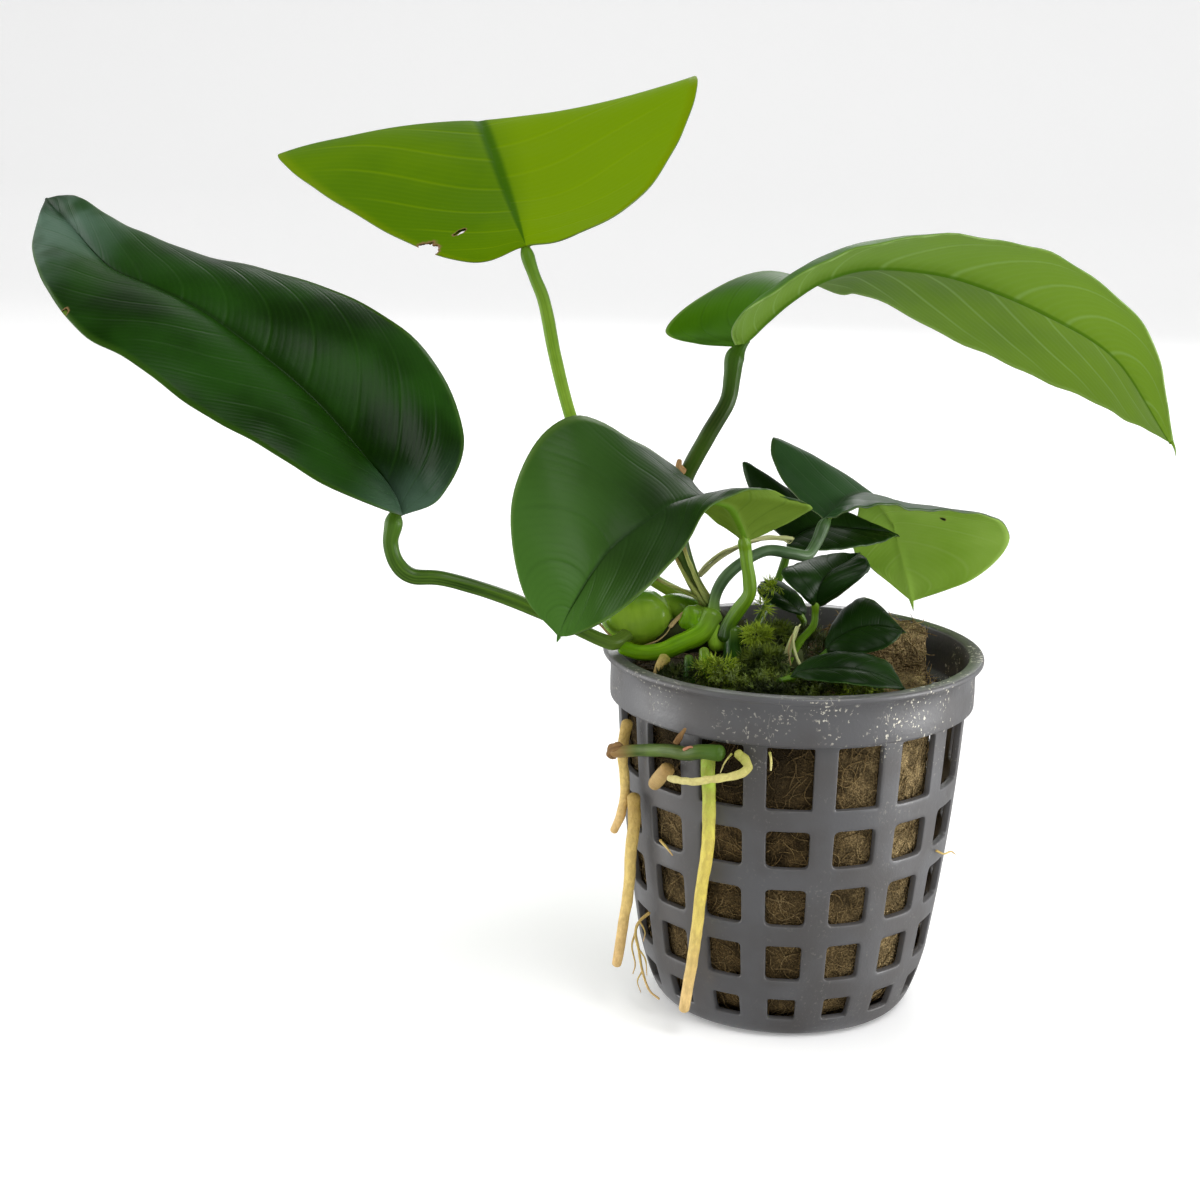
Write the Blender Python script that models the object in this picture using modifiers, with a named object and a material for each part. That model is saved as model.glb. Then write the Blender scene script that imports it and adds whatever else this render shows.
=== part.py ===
"""Potted anubias: a water plant on its rhizome, in a grey net pot with a rockwool plug.

Units are metres and +Z is up. The origin is the centre of the pot's foot, on the surface it stands on.
Every guide point below is in millimetres, in the same frame.
"""

import math

import bmesh
import bpy
from mathutils import Matrix, Vector

MM = 0.001
WELD_DISTANCE = 0.00005
SCREW_MERGE = 0.00001

# Driving dimensions, in millimetres.
POT_HEIGHT = 48.0
LIP_RADIUS = 25.0
LIP_THICKNESS = 0.9
COLLAR_RADIUS = 23.95
COLLAR_HEIGHT = 6.5
BODY_TOP_RADIUS = 23.23
BODY_LOW_RADIUS = 19.33
BODY_LOW_Z = 8.0
BODY_BULGE = 0.66
WALL = 0.9
FOOT_RADIUS = 14.5
POT_STEPS = 48
WINDOW_COLUMNS = 16
WINDOW_PHASE = math.radians(0.8)
# Each row of windows: lower height, upper height, half width.
WINDOW_ROWS = (
    (2.9, 6.1, 1.8),
    (8.9, 13.9, 2.3),
    (16.7, 21.9, 2.6),
    (24.8, 29.9, 2.8),
    (32.7, 41.0, 3.0),
)
FOOT_SLOTS = 8
FOOT_SLOT_SPAN = (6.5, 12.5)
FOOT_SLOT_HALF_WIDTH = 1.1
# The turned wall between the named sizes, from the top down: inner foot curve, outer foot curve.
BODY_HEIGHTS = (41.2, 26.0, BODY_LOW_Z)
INNER_FOOT_CURVE = ((14.2, WALL), (16.5, 2.2), (17.8, 5.4))
OUTER_FOOT_CURVE = ((18.5, 4.4), (17.0, 1.2))
COLLAR_STEP = 0.6
LIP_FILLET = 0.3
# Each window cutter reaches through the wall from inside to outside.
WINDOW_CUTTER_RADIUS = 20.5
WINDOW_CUTTER_DEPTH = 9.0
FOOT_CUTTER_HEIGHT = 4.0

PLUG_GAP = 0.4
PLUG_STEPS = 32
PLUG_TOP = 44.5
PLUG_FLAT_X = 17.6
FLAT_CUTTER_SIZE = (20.0, 60.0, 70.0)
WRAP_TOP = 49.8
WRAP_RADII = (9.0, 20.8)
WRAP_START = math.radians(13.0)
WRAP_SWEEP = math.radians(52.0)
WRAP_DEPTH = 4.0
WRAP_CUTS = 5
PLUG_TOP_RADIUS = 20.6
PLUG_SHOULDER = 1.5
PLUG_HEIGHTS = (41.0, 31.0, 19.0, 9.0)
PLUG_FOOT_CURVE = ((17.0, 5.2), (15.6, 2.6), (13.6, WALL + PLUG_GAP))

BLADE_THICKNESS = 0.6
BLADE_CAMBER = 0.10
# How far the left and the right half of a blade belly upwards, where they differ from the camber above.
BLADE_CAMBERS = {
    "leaf_top": (0.046, -0.034),
    "leaf_right": (0.03, 0.10),
    "leaf_centre": (0.03, 0.03),
    "leaf_back": (0.03, 0.03),
    "leaf_dark": (0.02, 0.02),
}

# Leaf blades. Each station along a blade holds its midrib point and the points on its two margins.
# A station of one point is where the blade narrows to its base or its tip.
BLADES = {
    "leaf_left": (
        ((-49.5, -14.0, 66.7),),
        ((-51.5, -13.0, 70.5), (-50.7, -20.0, 68.7), (-44.6, -13.0, 69.2)),
        ((-54.8, -13.0, 74.5), (-56.8, -23.0, 71.8), (-43.0, -6.0, 75.8)),
        ((-60.5, -12.0, 80.2), (-64.2, -24.0, 76.2), (-48.4, -1.0, 85.8)),
        ((-67.8, -11.0, 85.8), (-72.5, -24.0, 81.0), (-58.2, 1.0, 92.0)),
        ((-75.3, -10.0, 90.8), (-80.9, -23.0, 86.4), (-69.7, 1.0, 95.7)),
        ((-81.9, -9.0, 93.9), (-87.9, -21.0, 89.6), (-78.6, 1.0, 97.3)),
        ((-89.1, -5.0, 96.1), (-94.5, -14.0, 94.5), (-87.5, 3.0, 100.0)),
        ((-96.2, 3.0, 100.1), (-99.6, -3.0, 97.9), (-95.3, 6.0, 103.5)),
        ((-99.9, 6.8, 102.3), (-100.8, 3.6, 101.0), (-98.1, 8.0, 103.9)),
        ((-101.3, 8.3, 103.4),),
    ),
    "leaf_top": (
        ((-37.1, 10.0, 98.7),),
        ((-38.5, 14.0, 100.9), (-44.4, 9.0, 96.3), (-30.4, 8.0, 100.2)),
        ((-41.1, 22.0, 104.3), (-55.3, 14.0, 99.2), (-21.6, 14.0, 105.9)),
        ((-44.3, 31.0, 109.1), (-67.9, 24.0, 104.4), (-17.3, 25.0, 114.2)),
        ((-47.8, 42.0, 113.2), (-76.2, 36.0, 108.3), (-16.5, 36.0, 120.5)),
        ((-51.2, 55.0, 111.6), (-73.2, 52.0, 106.6), (-23.2, 52.0, 113.9)),
        ((-55.0, 68.0, 108.2), (-68.6, 68.0, 103.3), (-37.1, 68.0, 108.6)),
        ((-58.7, 82.0, 101.4),),
    ),
    "leaf_right": (
        ((-8.7, 2.0, 87.1),),
        ((-7.9, 2.0, 87.8), (-14.0, 6.0, 86.8), (-9.0, -2.0, 88.9)),
        ((-6.7, 1.0, 89.0), (-18.3, 10.0, 87.9), (-8.8, -6.0, 90.9)),
        ((-5.0, 0.0, 91.0), (-14.4, 14.0, 91.8), (-7.6, -9.0, 92.9)),
        ((-2.0, -1.0, 93.8), (-5.6, 18.0, 95.3), (-3.8, -12.0, 96.0)),
        ((2.6, -1.0, 96.5), (4.1, 21.0, 92.6), (2.7, -14.0, 99.7)),
        ((9.1, -1.0, 98.0), (8.4, 22.0, 92.0), (9.2, -15.0, 102.2)),
        ((19.2, -1.0, 97.2), (21.0, 20.0, 86.3), (19.8, -15.0, 103.2)),
        ((30.5, -2.0, 92.9), (33.5, 15.0, 81.6), (31.6, -14.0, 100.0)),
        ((39.4, -3.0, 87.2), (42.0, 8.0, 78.6), (41.8, -11.0, 91.0)),
        ((46.4, -5.0, 77.4),),
    ),
    "leaf_centre": (
        ((-6.5, -8.0, 63.7),),
        ((-7.3, -10.0, 66.3), (-3.2, -6.5, 64.8), (-9.5, -9.5, 65.9)),
        ((-8.5, -13.5, 69.2), (1.8, -4.5, 67.6), (-11.6, -11.0, 67.8)),
        ((-10.1, -18.0, 70.7), (-1.7, -7.5, 69.6), (-13.6, -12.5, 69.7)),
        ((-12.0, -23.0, 71.9), (-6.0, -14.0, 71.5), (-13.5, -13.5, 72.2)),
        ((-14.4, -27.5, 72.3), (-10.6, -26.0, 71.3), (-15.6, -15.5, 74.5)),
        ((-16.6, -30.5, 71.4), (-12.8, -32.5, 68.3), (-19.5, -18.0, 77.3)),
        ((-21.0, -34.0, 68.3), (-16.6, -38.0, 64.5), (-25.7, -24.0, 81.6)),
        ((-23.0, -37.0, 65.9), (-21.0, -41.3, 61.3), (-30.5, -29.0, 79.8)),
        ((-24.7, -39.5, 63.1), (-23.9, -42.0, 59.8), (-33.1, -34.5, 72.7)),
        ((-25.9, -41.0, 60.9), (-25.5, -42.0, 59.3), (-31.1, -39.5, 63.8)),
        ((-26.6, -42.0, 59.1),),
    ),
    "leaf_back": (
        ((3.6, 6.0, 64.1),),
        ((5.3, 9.0, 65.5), (-0.5, 8.0, 66.8), (5.8, 3.0, 65.6)),
        ((7.2, 12.0, 66.3), (-3.6, 10.0, 71.3), (8.4, 4.0, 66.5)),
        ((9.4, 16.0, 65.9), (-3.2, 13.0, 73.8), (12.1, 6.0, 66.4)),
        ((11.5, 21.0, 63.7), (2.1, 17.0, 69.7), (17.6, 10.0, 64.9)),
        ((13.2, 26.0, 60.5), (8.2, 22.0, 65.1), (26.1, 18.0, 63.1)),
        ((14.5, 28.0, 56.2), (8.0, 27.0, 55.8), (29.6, 24.0, 58.3)),
        ((15.7, 28.0, 51.9), (10.8, 28.0, 52.7), (25.4, 27.0, 52.0)),
        ((16.7, 28.0, 48.0),),
    ),
    "leaf_dark": (
        ((-0.9, 14.0, 58.7),),
        ((0.4, 15.0, 59.9), (-4.9, 17.0, 62.1), (-0.9, 11.0, 58.8)),
        ((2.4, 16.0, 60.8), (-7.8, 19.0, 69.1), (3.6, 12.0, 58.4)),
        ((5.9, 18.0, 60.6), (-2.2, 19.0, 66.0), (8.9, 15.0, 58.7)),
        ((10.1, 20.0, 59.9), (5.8, 20.0, 62.9), (12.0, 18.0, 58.8)),
        ((13.9, 22.0, 58.9),),
    ),
    "leaf_small_upper": (
        ((2.7, -7.0, 55.2),),
        ((2.7, -8.0, 56.6), (0.7, -9.5, 57.4), (4.9, -6.0, 56.0)),
        ((3.2, -8.0, 58.4), (-1.8, -8.0, 59.7), (7.7, -7.0, 58.7)),
        ((4.6, -6.0, 59.8), (0.5, -3.0, 60.1), (9.4, -6.0, 60.4)),
        ((6.9, -3.0, 60.7), (4.4, -1.0, 61.0), (8.9, -5.0, 61.6)),
        ((8.0, -2.0, 61.3),),
    ),
    "leaf_small_inner": (
        ((1.3, -2.0, 52.7),),
        ((0.4, -3.0, 53.8), (-1.0, -5.0, 54.1), (1.3, -1.0, 53.8)),
        ((-1.4, -3.0, 55.2), (-3.9, -5.0, 55.7), (0.2, 0.0, 55.2)),
        ((-3.2, -2.0, 56.2), (-4.8, -4.0, 56.7), (-2.2, 1.0, 56.5)),
        ((-4.3, -1.0, 56.8),),
    ),
    "leaf_small_middle": (
        ((4.1, -11.5, 50.4),),
        ((5.7, -11.0, 52.0), (4.9, -8.0, 52.5), (7.2, -13.5, 50.9)),
        ((8.1, -11.0, 53.5), (6.6, -6.0, 54.9), (10.4, -13.5, 51.4)),
        ((10.9, -11.0, 54.0), (9.6, -6.0, 56.2), (12.5, -13.0, 52.5)),
        ((13.8, -11.5, 53.6),),
    ),
    "leaf_small_front": (
        ((-0.2, -17.5, 48.7),),
        ((2.5, -18.0, 49.6), (2.5, -15.5, 50.5), (2.5, -20.5, 49.0)),
        ((6.5, -18.5, 50.2), (7.1, -15.5, 51.6), (6.9, -21.5, 49.1)),
        ((10.4, -18.0, 49.5), (11.7, -15.0, 50.5), (10.6, -20.5, 48.6)),
        ((13.9, -18.0, 47.9),),
    ),
}
# Rows along and across each blade's faceted grid.
BLADE_GRIDS = {
    "leaf_left": (14, 6),
    "leaf_top": (14, 6),
    "leaf_right": (16, 6),
    "leaf_centre": (14, 6),
    "leaf_back": (12, 6),
    "leaf_dark": (8, 4),
}
SMALL_BLADE_GRID = (7, 4)

# Round stems and roots: radius at the two ends, steps between guide points, guide points.
STALKS = {
    "petiole_left": (0.85, 1.1, 1, (
        (-22.6, -9.1, 50.1), (-24.6, -10.0, 50.6), (-29.7, -11.0, 53.2), (-37.3, -12.0, 56.4),
        (-44.3, -13.0, 58.5), (-48.3, -13.4, 58.8), (-50.3, -13.5, 60.4), (-51.1, -13.6, 63.0),
        (-50.7, -13.8, 65.6))),
    "petiole_top": (0.95, 0.85, 1, (
        (-13.3, 3.0, 53.0), (-15.7, 3.2, 53.9), (-20.0, 3.6, 56.5), (-24.0, 4.6, 61.9),
        (-27.8, 6.0, 69.6), (-30.7, 7.5, 76.7), (-32.9, 8.5, 84.3), (-34.4, 9.0, 91.1),
        (-35.9, 9.6, 94.7), (-36.9, 10.2, 97.3))),
    "petiole_right": (0.95, 1.2, 1, (
        (-11.7, -3.5, 54.8), (-13.4, -3.0, 57.5), (-14.9, -2.5, 61.7), (-15.4, -2.0, 66.2),
        (-14.5, -1.5, 70.8), (-11.9, -1.0, 76.1), (-9.6, 0.0, 80.3), (-9.1, 1.0, 83.6), (-8.8, 1.7, 86.0))),
    "petiole_centre": (0.95, 0.75, 2, (
        (-8.2, -7.5, 52.6), (-7.2, -7.5, 54.4), (-5.8, -8.0, 56.7), (-5.8, -8.0, 58.7),
        (-6.2, -8.0, 61.0), (-6.5, -8.0, 63.0))),
    "petiole_back": (0.8, 0.75, 1, (
        (-10.4, -5.5, 54.4), (-10.0, -5.0, 56.4), (-8.8, -4.5, 58.4), (-6.7, -3.0, 60.0),
        (-3.8, -1.0, 61.1), (-0.6, 0.8, 60.4), (1.4, 2.4, 59.9), (2.6, 4.2, 61.2),
        (3.5, 5.6, 63.3))),
    "petiole_dark": (0.6, 0.55, 2, (
        (-4.9, 1.0, 50.5), (-3.2, 4.0, 53.3), (-1.8, 9.0, 56.3), (-1.1, 13.0, 57.9))),
    "petiole_small_upper": (0.5, 0.45, 2, (
        (-0.3, -8.5, 48.7), (1.0, -8.0, 51.0), (2.5, -7.4, 52.8), (2.7, -7.0, 54.5))),
    "petiole_small_inner": (0.5, 0.4, 2, (
        (-1.3, -5.0, 47.5), (-0.4, -4.0, 49.4), (0.7, -3.0, 50.9), (1.3, -2.3, 52.0))),
    "petiole_small_middle": (0.45, 0.4, 2, (
        (0.6, -11.3, 47.6), (2.3, -11.5, 49.0), (3.6, -11.6, 49.8))),
    "petiole_small_front": (0.5, 0.4, 2, (
        (-2.9, -14.5, 46.2), (-1.7, -16.0, 47.5), (-0.7, -17.0, 48.2))),
    "sheath_torn": (0.3, 0.3, 1, (
        (-12.4, -0.8, 57.4), (-9.9, -0.4, 59.8), (-7.3, 0.0, 61.3), (-3.9, 0.8, 62.4),
        (-0.6, 1.6, 62.2))),
    "sheath_pale": (0.5, 0.3, 1, (
        (-1.0, -11.0, 48.6), (-0.3, -10.6, 51.0), (0.5, -10.2, 53.2))),
    "rhizome": (1.1, 1.5, 2, (
        (-21.8, -8.8, 49.3), (-19.6, -8.9, 48.8), (-16.8, -8.6, 49.0), (-14.0, -7.8, 50.1),
        (-11.6, -7.0, 51.3))),
    "leaf_base_front": (1.0, 0.7, 2, (
        (-10.8, -13.2, 45.6), (-10.9, -12.6, 48.1), (-11.2, -12.0, 50.2))),
    "leaf_base_left": (0.9, 0.6, 2, (
        (-12.8, -13.2, 45.6), (-13.0, -12.6, 47.6), (-13.1, -12.0, 49.2))),
    "leaf_base_centre": (1.5, 1.1, 2, (
        (-7.3, -8.6, 45.6), (-7.5, -8.1, 49.3), (-7.7, -7.6, 51.8))),
    "root_bud": (0.8, 0.4, 2, (
        (-16.2, -11.0, 48.6), (-16.9, -11.8, 47.8), (-17.4, -12.3, 46.9))),
    "side_stem": (0.75, 1.0, 1, (
        (-22.1, -14.7, 37.1), (-18.0, -16.7, 38.1), (-14.7, -19.3, 39.0), (-12.6, -20.8, 39.2),
        (-10.6, -21.9, 39.9), (-8.5, -22.8, 40.1))),
    "root_long": (0.9, 0.45, 1, (
        (-9.9, -21.9, 37.4), (-9.7, -21.8, 34.9), (-9.6, -21.6, 31.2), (-9.7, -21.0, 26.5),
        (-10.3, -20.2, 21.5), (-10.7, -19.4, 16.6), (-11.2, -18.8, 11.7), (-11.8, -18.4, 6.9),
        (-12.2, -18.3, 4.0))),
    "root_left": (0.75, 0.4, 1, (
        (-20.7, -12.8, 40.4), (-21.1, -12.6, 38.1), (-21.2, -12.4, 35.3), (-20.9, -12.0, 31.2),
        (-21.3, -12.0, 28.0), (-22.2, -12.0, 25.6))),
    "root_side": (0.85, 0.4, 1, (
        (-19.6, -13.4, 30.7), (-19.5, -13.2, 27.3), (-19.9, -12.8, 22.8), (-20.1, -12.4, 18.0),
        (-20.7, -12.0, 13.1), (-21.2, -12.0, 8.9), (-21.5, -12.0, 7.1))),
    "root_hook": (0.6, 0.45, 2, (
        (-6.2, -23.4, 40.3), (-5.3, -23.5, 39.6), (-4.9, -23.9, 38.7), (-6.1, -24.4, 37.9),
        (-8.9, -24.5, 37.3), (-11.8, -23.6, 36.5), (-14.6, -21.8, 36.2))),
    "root_stub": (1.0, 0.95, 1, (
        (-15.1, -18.9, 36.4), (-15.9, -18.0, 35.2), (-16.7, -17.0, 33.9))),
}
THIN_STALK_RADIUS = 0.8
SWELLING_SEGMENTS = (12, 8)

# The two swellings of the growing tip, above the rhizome: centre, half sizes, turn about Y in degrees.
SWELLINGS = {
    "growth_bulb": ((-20.3, -4.8, 52.3), (4.6, 3.0, 3.8), -8.0),
    "growth_lobe": ((-14.9, -1.0, 52.7), (3.4, 2.0, 2.1), 10.0),
}

# Surface finishes: colour, roughness.
FINISHES = {
    "pot_plastic": ((0.16, 0.17, 0.18), 0.45),
    "rockwool": ((0.22, 0.15, 0.07), 0.95),
    "leaf_dark_green": ((0.02, 0.09, 0.02), 0.3),
    "leaf_fresh_green": ((0.13, 0.28, 0.02), 0.4),
    "petiole_green": ((0.08, 0.20, 0.02), 0.4),
    "rhizome_green": ((0.20, 0.34, 0.05), 0.4),
    "root_tan": ((0.55, 0.42, 0.18), 0.6),
    "dry_sheath": ((0.45, 0.42, 0.22), 0.7),
}
DARK_BLADES = ("leaf_left", "leaf_centre", "leaf_dark", "leaf_back")
RHIZOME_PIECES = (
    "rhizome",
    "growth_bulb",
    "growth_lobe",
    "leaf_base_front",
    "leaf_base_left",
    "leaf_base_centre",
    "side_stem",
)


def clear_scene():
    """Remove every object, so the script gives the same result wherever it runs."""
    for item in list(bpy.data.objects):
        bpy.data.objects.remove(item, do_unlink=True)


def new_collection(name):
    """A collection linked to the scene."""
    collection = bpy.data.collections.new(name)
    bpy.context.scene.collection.children.link(collection)
    return collection


def new_material(name):
    """A Principled material with one of the named finishes."""
    colour, roughness = FINISHES[name]
    material = bpy.data.materials.new(name)
    material.use_nodes = True
    shader = material.node_tree.nodes["Principled BSDF"]
    shader.inputs["Base Color"].default_value = (*colour, 1.0)
    shader.inputs["Roughness"].default_value = roughness
    shader.inputs["Metallic"].default_value = 0.0
    material.diffuse_color = (*colour, 1.0)
    return material


def mesh_object(name, source, collection, material=None):
    """A named object from a bmesh, which is freed."""
    mesh = bpy.data.meshes.new(name)
    source.to_mesh(mesh)
    source.free()
    item = bpy.data.objects.new(name, mesh)
    collection.objects.link(item)
    if material is not None:
        mesh.materials.append(material)
    return item


def smooth_curve(points, count):
    """Points at even steps on the Catmull-Rom curve through the given points."""
    knots = [Vector(point) for point in points]
    knots = [2 * knots[0] - knots[1], *knots, 2 * knots[-1] - knots[-2]]
    spans = len(points) - 1
    result = []
    for step in range(count):
        position = spans * step / (count - 1)
        index = min(int(position), spans - 1)
        t = position - index
        a, b, c, d = knots[index:index + 4]
        linear = (c - a) * t
        square = (2 * a - 5 * b + 4 * c - d) * t * t
        cube = (3 * b - 3 * c + d - a) * t ** 3
        result.append(0.5 * (2 * b + linear + square + cube))
    return result


def add_stalk(name, collection, material):
    """A round stem or root: a bevelled curve, tapered evenly from one end to the other."""
    start_radius, end_radius, steps, points = STALKS[name]
    path = smooth_curve(points, (len(points) - 1) * steps + 1)
    curve = bpy.data.curves.new(name, "CURVE")
    curve.dimensions = "3D"
    curve.bevel_depth = MM
    curve.bevel_resolution = 1 if start_radius <= THIN_STALK_RADIUS else 2
    curve.use_fill_caps = True
    spline = curve.splines.new("POLY")
    spline.points.add(len(path) - 1)
    for index, point in enumerate(path):
        share = index / (len(path) - 1)
        spline.points[index].co = (*(point * MM), 1.0)
        spline.points[index].radius = start_radius + (end_radius - start_radius) * share
    curve.materials.append(material)
    item = bpy.data.objects.new(name, curve)
    collection.objects.link(item)
    return item


def blade_point(midrib, margin, share, lift, camber):
    """A point between midrib and margin, raised so that each half of the blade bellies upwards."""
    offset = margin - midrib
    return midrib + offset * share + lift * (offset.length * camber * 4 * share * (1 - share))


def add_blade(name, collection, material):
    """A leaf blade: a grid laid over its midrib and margin curves, thickened on both sides."""
    along, across = BLADE_GRIDS.get(name, SMALL_BLADE_GRID)
    cambers = BLADE_CAMBERS.get(name, (BLADE_CAMBER, BLADE_CAMBER))
    stations = [station if len(station) == 3 else station * 3 for station in BLADES[name]]
    guides = [[station[side] for station in stations] for side in range(3)]
    midrib, left, right = (smooth_curve(guide, along + 1) for guide in guides)
    grid = bmesh.new()
    bmesh.ops.create_grid(grid, x_segments=along, y_segments=across, size=1.0)
    for vertex in grid.verts:
        row = round((vertex.co.x + 1) / 2 * along)
        share = vertex.co.y
        ahead = midrib[min(row + 1, along)] - midrib[max(row - 1, 0)]
        lift = ahead.cross(left[row] - right[row])
        if lift.length > 0:
            lift.normalize()
        margin, camber = (right[row], cambers[1]) if share > 0 else (left[row], cambers[0])
        vertex.co = blade_point(midrib[row], margin, abs(share), lift, camber) * MM
    bmesh.ops.remove_doubles(grid, verts=grid.verts, dist=WELD_DISTANCE)
    item = mesh_object(name, grid, collection, material)
    thicken = item.modifiers.new("thickness", "SOLIDIFY")
    thicken.thickness = BLADE_THICKNESS * MM
    thicken.offset = 0.0
    item.data.shade_smooth()
    return item


def add_swelling(name, collection, material):
    """A rounded swelling: a sphere stretched to its half sizes."""
    centre, halves, turn = SWELLINGS[name]
    ball = bmesh.new()
    around, upright = SWELLING_SEGMENTS
    bmesh.ops.create_uvsphere(ball, u_segments=around, v_segments=upright, radius=1.0)
    bmesh.ops.scale(ball, vec=Vector(halves) * MM, verts=ball.verts)
    item = mesh_object(name, ball, collection, material)
    item.location = Vector(centre) * MM
    item.rotation_euler = (0.0, math.radians(turn), 0.0)
    item.data.shade_smooth()
    return item


def body_radius(height):
    """Outer radius of the pot's body: a straight taper from the lip's level down, with a slight bulge."""
    share = (POT_HEIGHT - height) / (POT_HEIGHT - BODY_LOW_Z)
    taper = (BODY_LOW_RADIUS - BODY_TOP_RADIUS) * share
    return BODY_TOP_RADIUS + taper + BODY_BULGE * 4 * share * (1 - share)


def add_turned(name, profile, steps, angle, collection, material=None):
    """A turned shape from a profile of (radius, height) points."""
    outline = bmesh.new()
    vertices = [outline.verts.new((radius * MM, 0.0, height * MM)) for radius, height in profile]
    for first, second in zip(vertices, vertices[1:]):
        outline.edges.new((first, second))
    item = mesh_object(name, outline, collection, material)
    screw = item.modifiers.new("turn", "SCREW")
    screw.axis = "Z"
    screw.angle = angle
    screw.steps = steps
    screw.render_steps = steps
    screw.use_merge_vertices = True
    screw.merge_threshold = SCREW_MERGE
    screw.use_smooth_shade = False
    return item


def add_cutter(name, boxes, cutters):
    """One cutter made of separate boxes, each given by its matrix on a unit cube."""
    block = bmesh.new()
    for angle, centre, size in boxes:
        place = Matrix.Rotation(angle, 4, "Z") @ Matrix.Translation(Vector(centre) * MM)
        place = place @ Matrix.Diagonal((*(Vector(size) * MM), 1.0))
        bmesh.ops.create_cube(block, size=1.0, matrix=place)
    item = mesh_object(name, block, cutters)
    item.hide_render = True
    item.display_type = "WIRE"
    return item


def boolean(item, other, operation):
    """A Boolean modifier with Blender's exact solver."""
    cut = item.modifiers.new(operation.lower(), "BOOLEAN")
    cut.operation = operation
    cut.solver = "EXACT"
    cut.object = other


def add_pot(collection, cutters, material):
    """The net pot: a turned wall with a collar and lip, rows of windows and a slotted foot."""
    collar_low = POT_HEIGHT - COLLAR_HEIGHT
    outer_body = [(body_radius(height), height) for height in BODY_HEIGHTS]
    inner_body = [(radius - WALL, height) for radius, height in reversed(outer_body)]
    profile = [
        (0.0, WALL), *INNER_FOOT_CURVE,
        *inner_body,
        (COLLAR_RADIUS - WALL, collar_low + COLLAR_STEP), (COLLAR_RADIUS - WALL, POT_HEIGHT),
        (LIP_RADIUS, POT_HEIGHT), (LIP_RADIUS, POT_HEIGHT - LIP_THICKNESS),
        (COLLAR_RADIUS, POT_HEIGHT - LIP_THICKNESS - LIP_FILLET), (COLLAR_RADIUS, collar_low),
        *outer_body,
        *OUTER_FOOT_CURVE, (FOOT_RADIUS, 0.0), (0.0, 0.0),
    ]
    pot = add_turned("net_pot", profile, POT_STEPS, 2 * math.pi, collection, material)

    windows = []
    pitch = 2 * math.pi / WINDOW_COLUMNS
    for column in range(WINDOW_COLUMNS):
        angle = -math.pi / 2 + WINDOW_PHASE + column * pitch
        for low, high, half_width in WINDOW_ROWS:
            middle = (low + high) / 2
            centre = (WINDOW_CUTTER_RADIUS, 0.0, middle)
            windows.append((angle, centre, (WINDOW_CUTTER_DEPTH, 2 * half_width, high - low)))
    boolean(pot, add_cutter("window_cutter", windows, cutters), "DIFFERENCE")

    slots = []
    inner, outer = FOOT_SLOT_SPAN
    size = (outer - inner, 2 * FOOT_SLOT_HALF_WIDTH, FOOT_CUTTER_HEIGHT)
    for index in range(FOOT_SLOTS):
        angle = WINDOW_PHASE + 2 * math.pi * index / FOOT_SLOTS
        slots.append((angle, ((inner + outer) / 2, 0.0, 0.0), size))
    boolean(pot, add_cutter("foot_slot_cutter", slots, cutters), "DIFFERENCE")
    return pot


def add_plug(collection, cutters, material):
    """The rockwool plug: it fills the pot, has one flat side, and its wrap stands up at the back."""
    reach = WALL + PLUG_GAP
    profile = [
        (0.0, PLUG_TOP), (PLUG_TOP_RADIUS, PLUG_TOP),
        (body_radius(PLUG_HEIGHTS[0]) - reach, PLUG_TOP - PLUG_SHOULDER),
        *[(body_radius(height) - reach, height) for height in PLUG_HEIGHTS],
        *PLUG_FOOT_CURVE, (0.0, WALL + PLUG_GAP),
    ]
    plug = add_turned("rockwool_plug", profile, PLUG_STEPS, 2 * math.pi, collection, material)

    inner, outer = WRAP_RADII
    ring = bmesh.new()
    bmesh.ops.create_cube(ring, size=1.0)
    lengthwise = [edge for edge in ring.edges if abs(edge.verts[0].co.y - edge.verts[1].co.y) > 0.5]
    bmesh.ops.subdivide_edges(ring, edges=lengthwise, cuts=WRAP_CUTS)
    low = PLUG_TOP - WRAP_DEPTH
    for vertex in ring.verts:
        radius = inner + (outer - inner) * (vertex.co.x + 0.5)
        angle = WRAP_START + WRAP_SWEEP * (vertex.co.y + 0.5)
        height = low + (WRAP_TOP - low) * (vertex.co.z + 0.5)
        vertex.co = Vector((radius * math.cos(angle), radius * math.sin(angle), height)) * MM
    wrap = mesh_object("wrap_block", ring, cutters)
    wrap.hide_render = True
    wrap.display_type = "WIRE"
    boolean(plug, wrap, "UNION")

    flat = [(0.0, (PLUG_FLAT_X + FLAT_CUTTER_SIZE[0] / 2, 0.0, PLUG_TOP / 2), FLAT_CUTTER_SIZE)]
    boolean(plug, add_cutter("plug_flat_cutter", flat, cutters), "DIFFERENCE")
    return plug


def stalk_material(name):
    """The finish that a stem or root takes."""
    if name in RHIZOME_PIECES:
        return "rhizome_green"
    if name.startswith("sheath"):
        return "dry_sheath"
    if name.startswith("root"):
        return "root_tan"
    return "petiole_green"


def main():
    clear_scene()
    collection = new_collection("potted_anubias")
    cutters = new_collection("cutters")
    add_pot(collection, cutters, new_material("pot_plastic"))
    add_plug(collection, cutters, new_material("rockwool"))
    materials = {name: new_material(name) for name in FINISHES if name not in ("pot_plastic", "rockwool")}
    for name in BLADES:
        dark = name in DARK_BLADES or name.startswith("leaf_small")
        add_blade(name, collection, materials["leaf_dark_green" if dark else "leaf_fresh_green"])
    for name in STALKS:
        add_stalk(name, collection, materials[stalk_material(name)])
    for name in SWELLINGS:
        add_swelling(name, collection, materials["rhizome_green"])


main()
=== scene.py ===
"""Potted anubias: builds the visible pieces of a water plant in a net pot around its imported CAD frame."""

import math
import random

import bmesh
import bpy
import numpy as np
from mathutils import Euler, Matrix, Vector, noise


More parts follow.
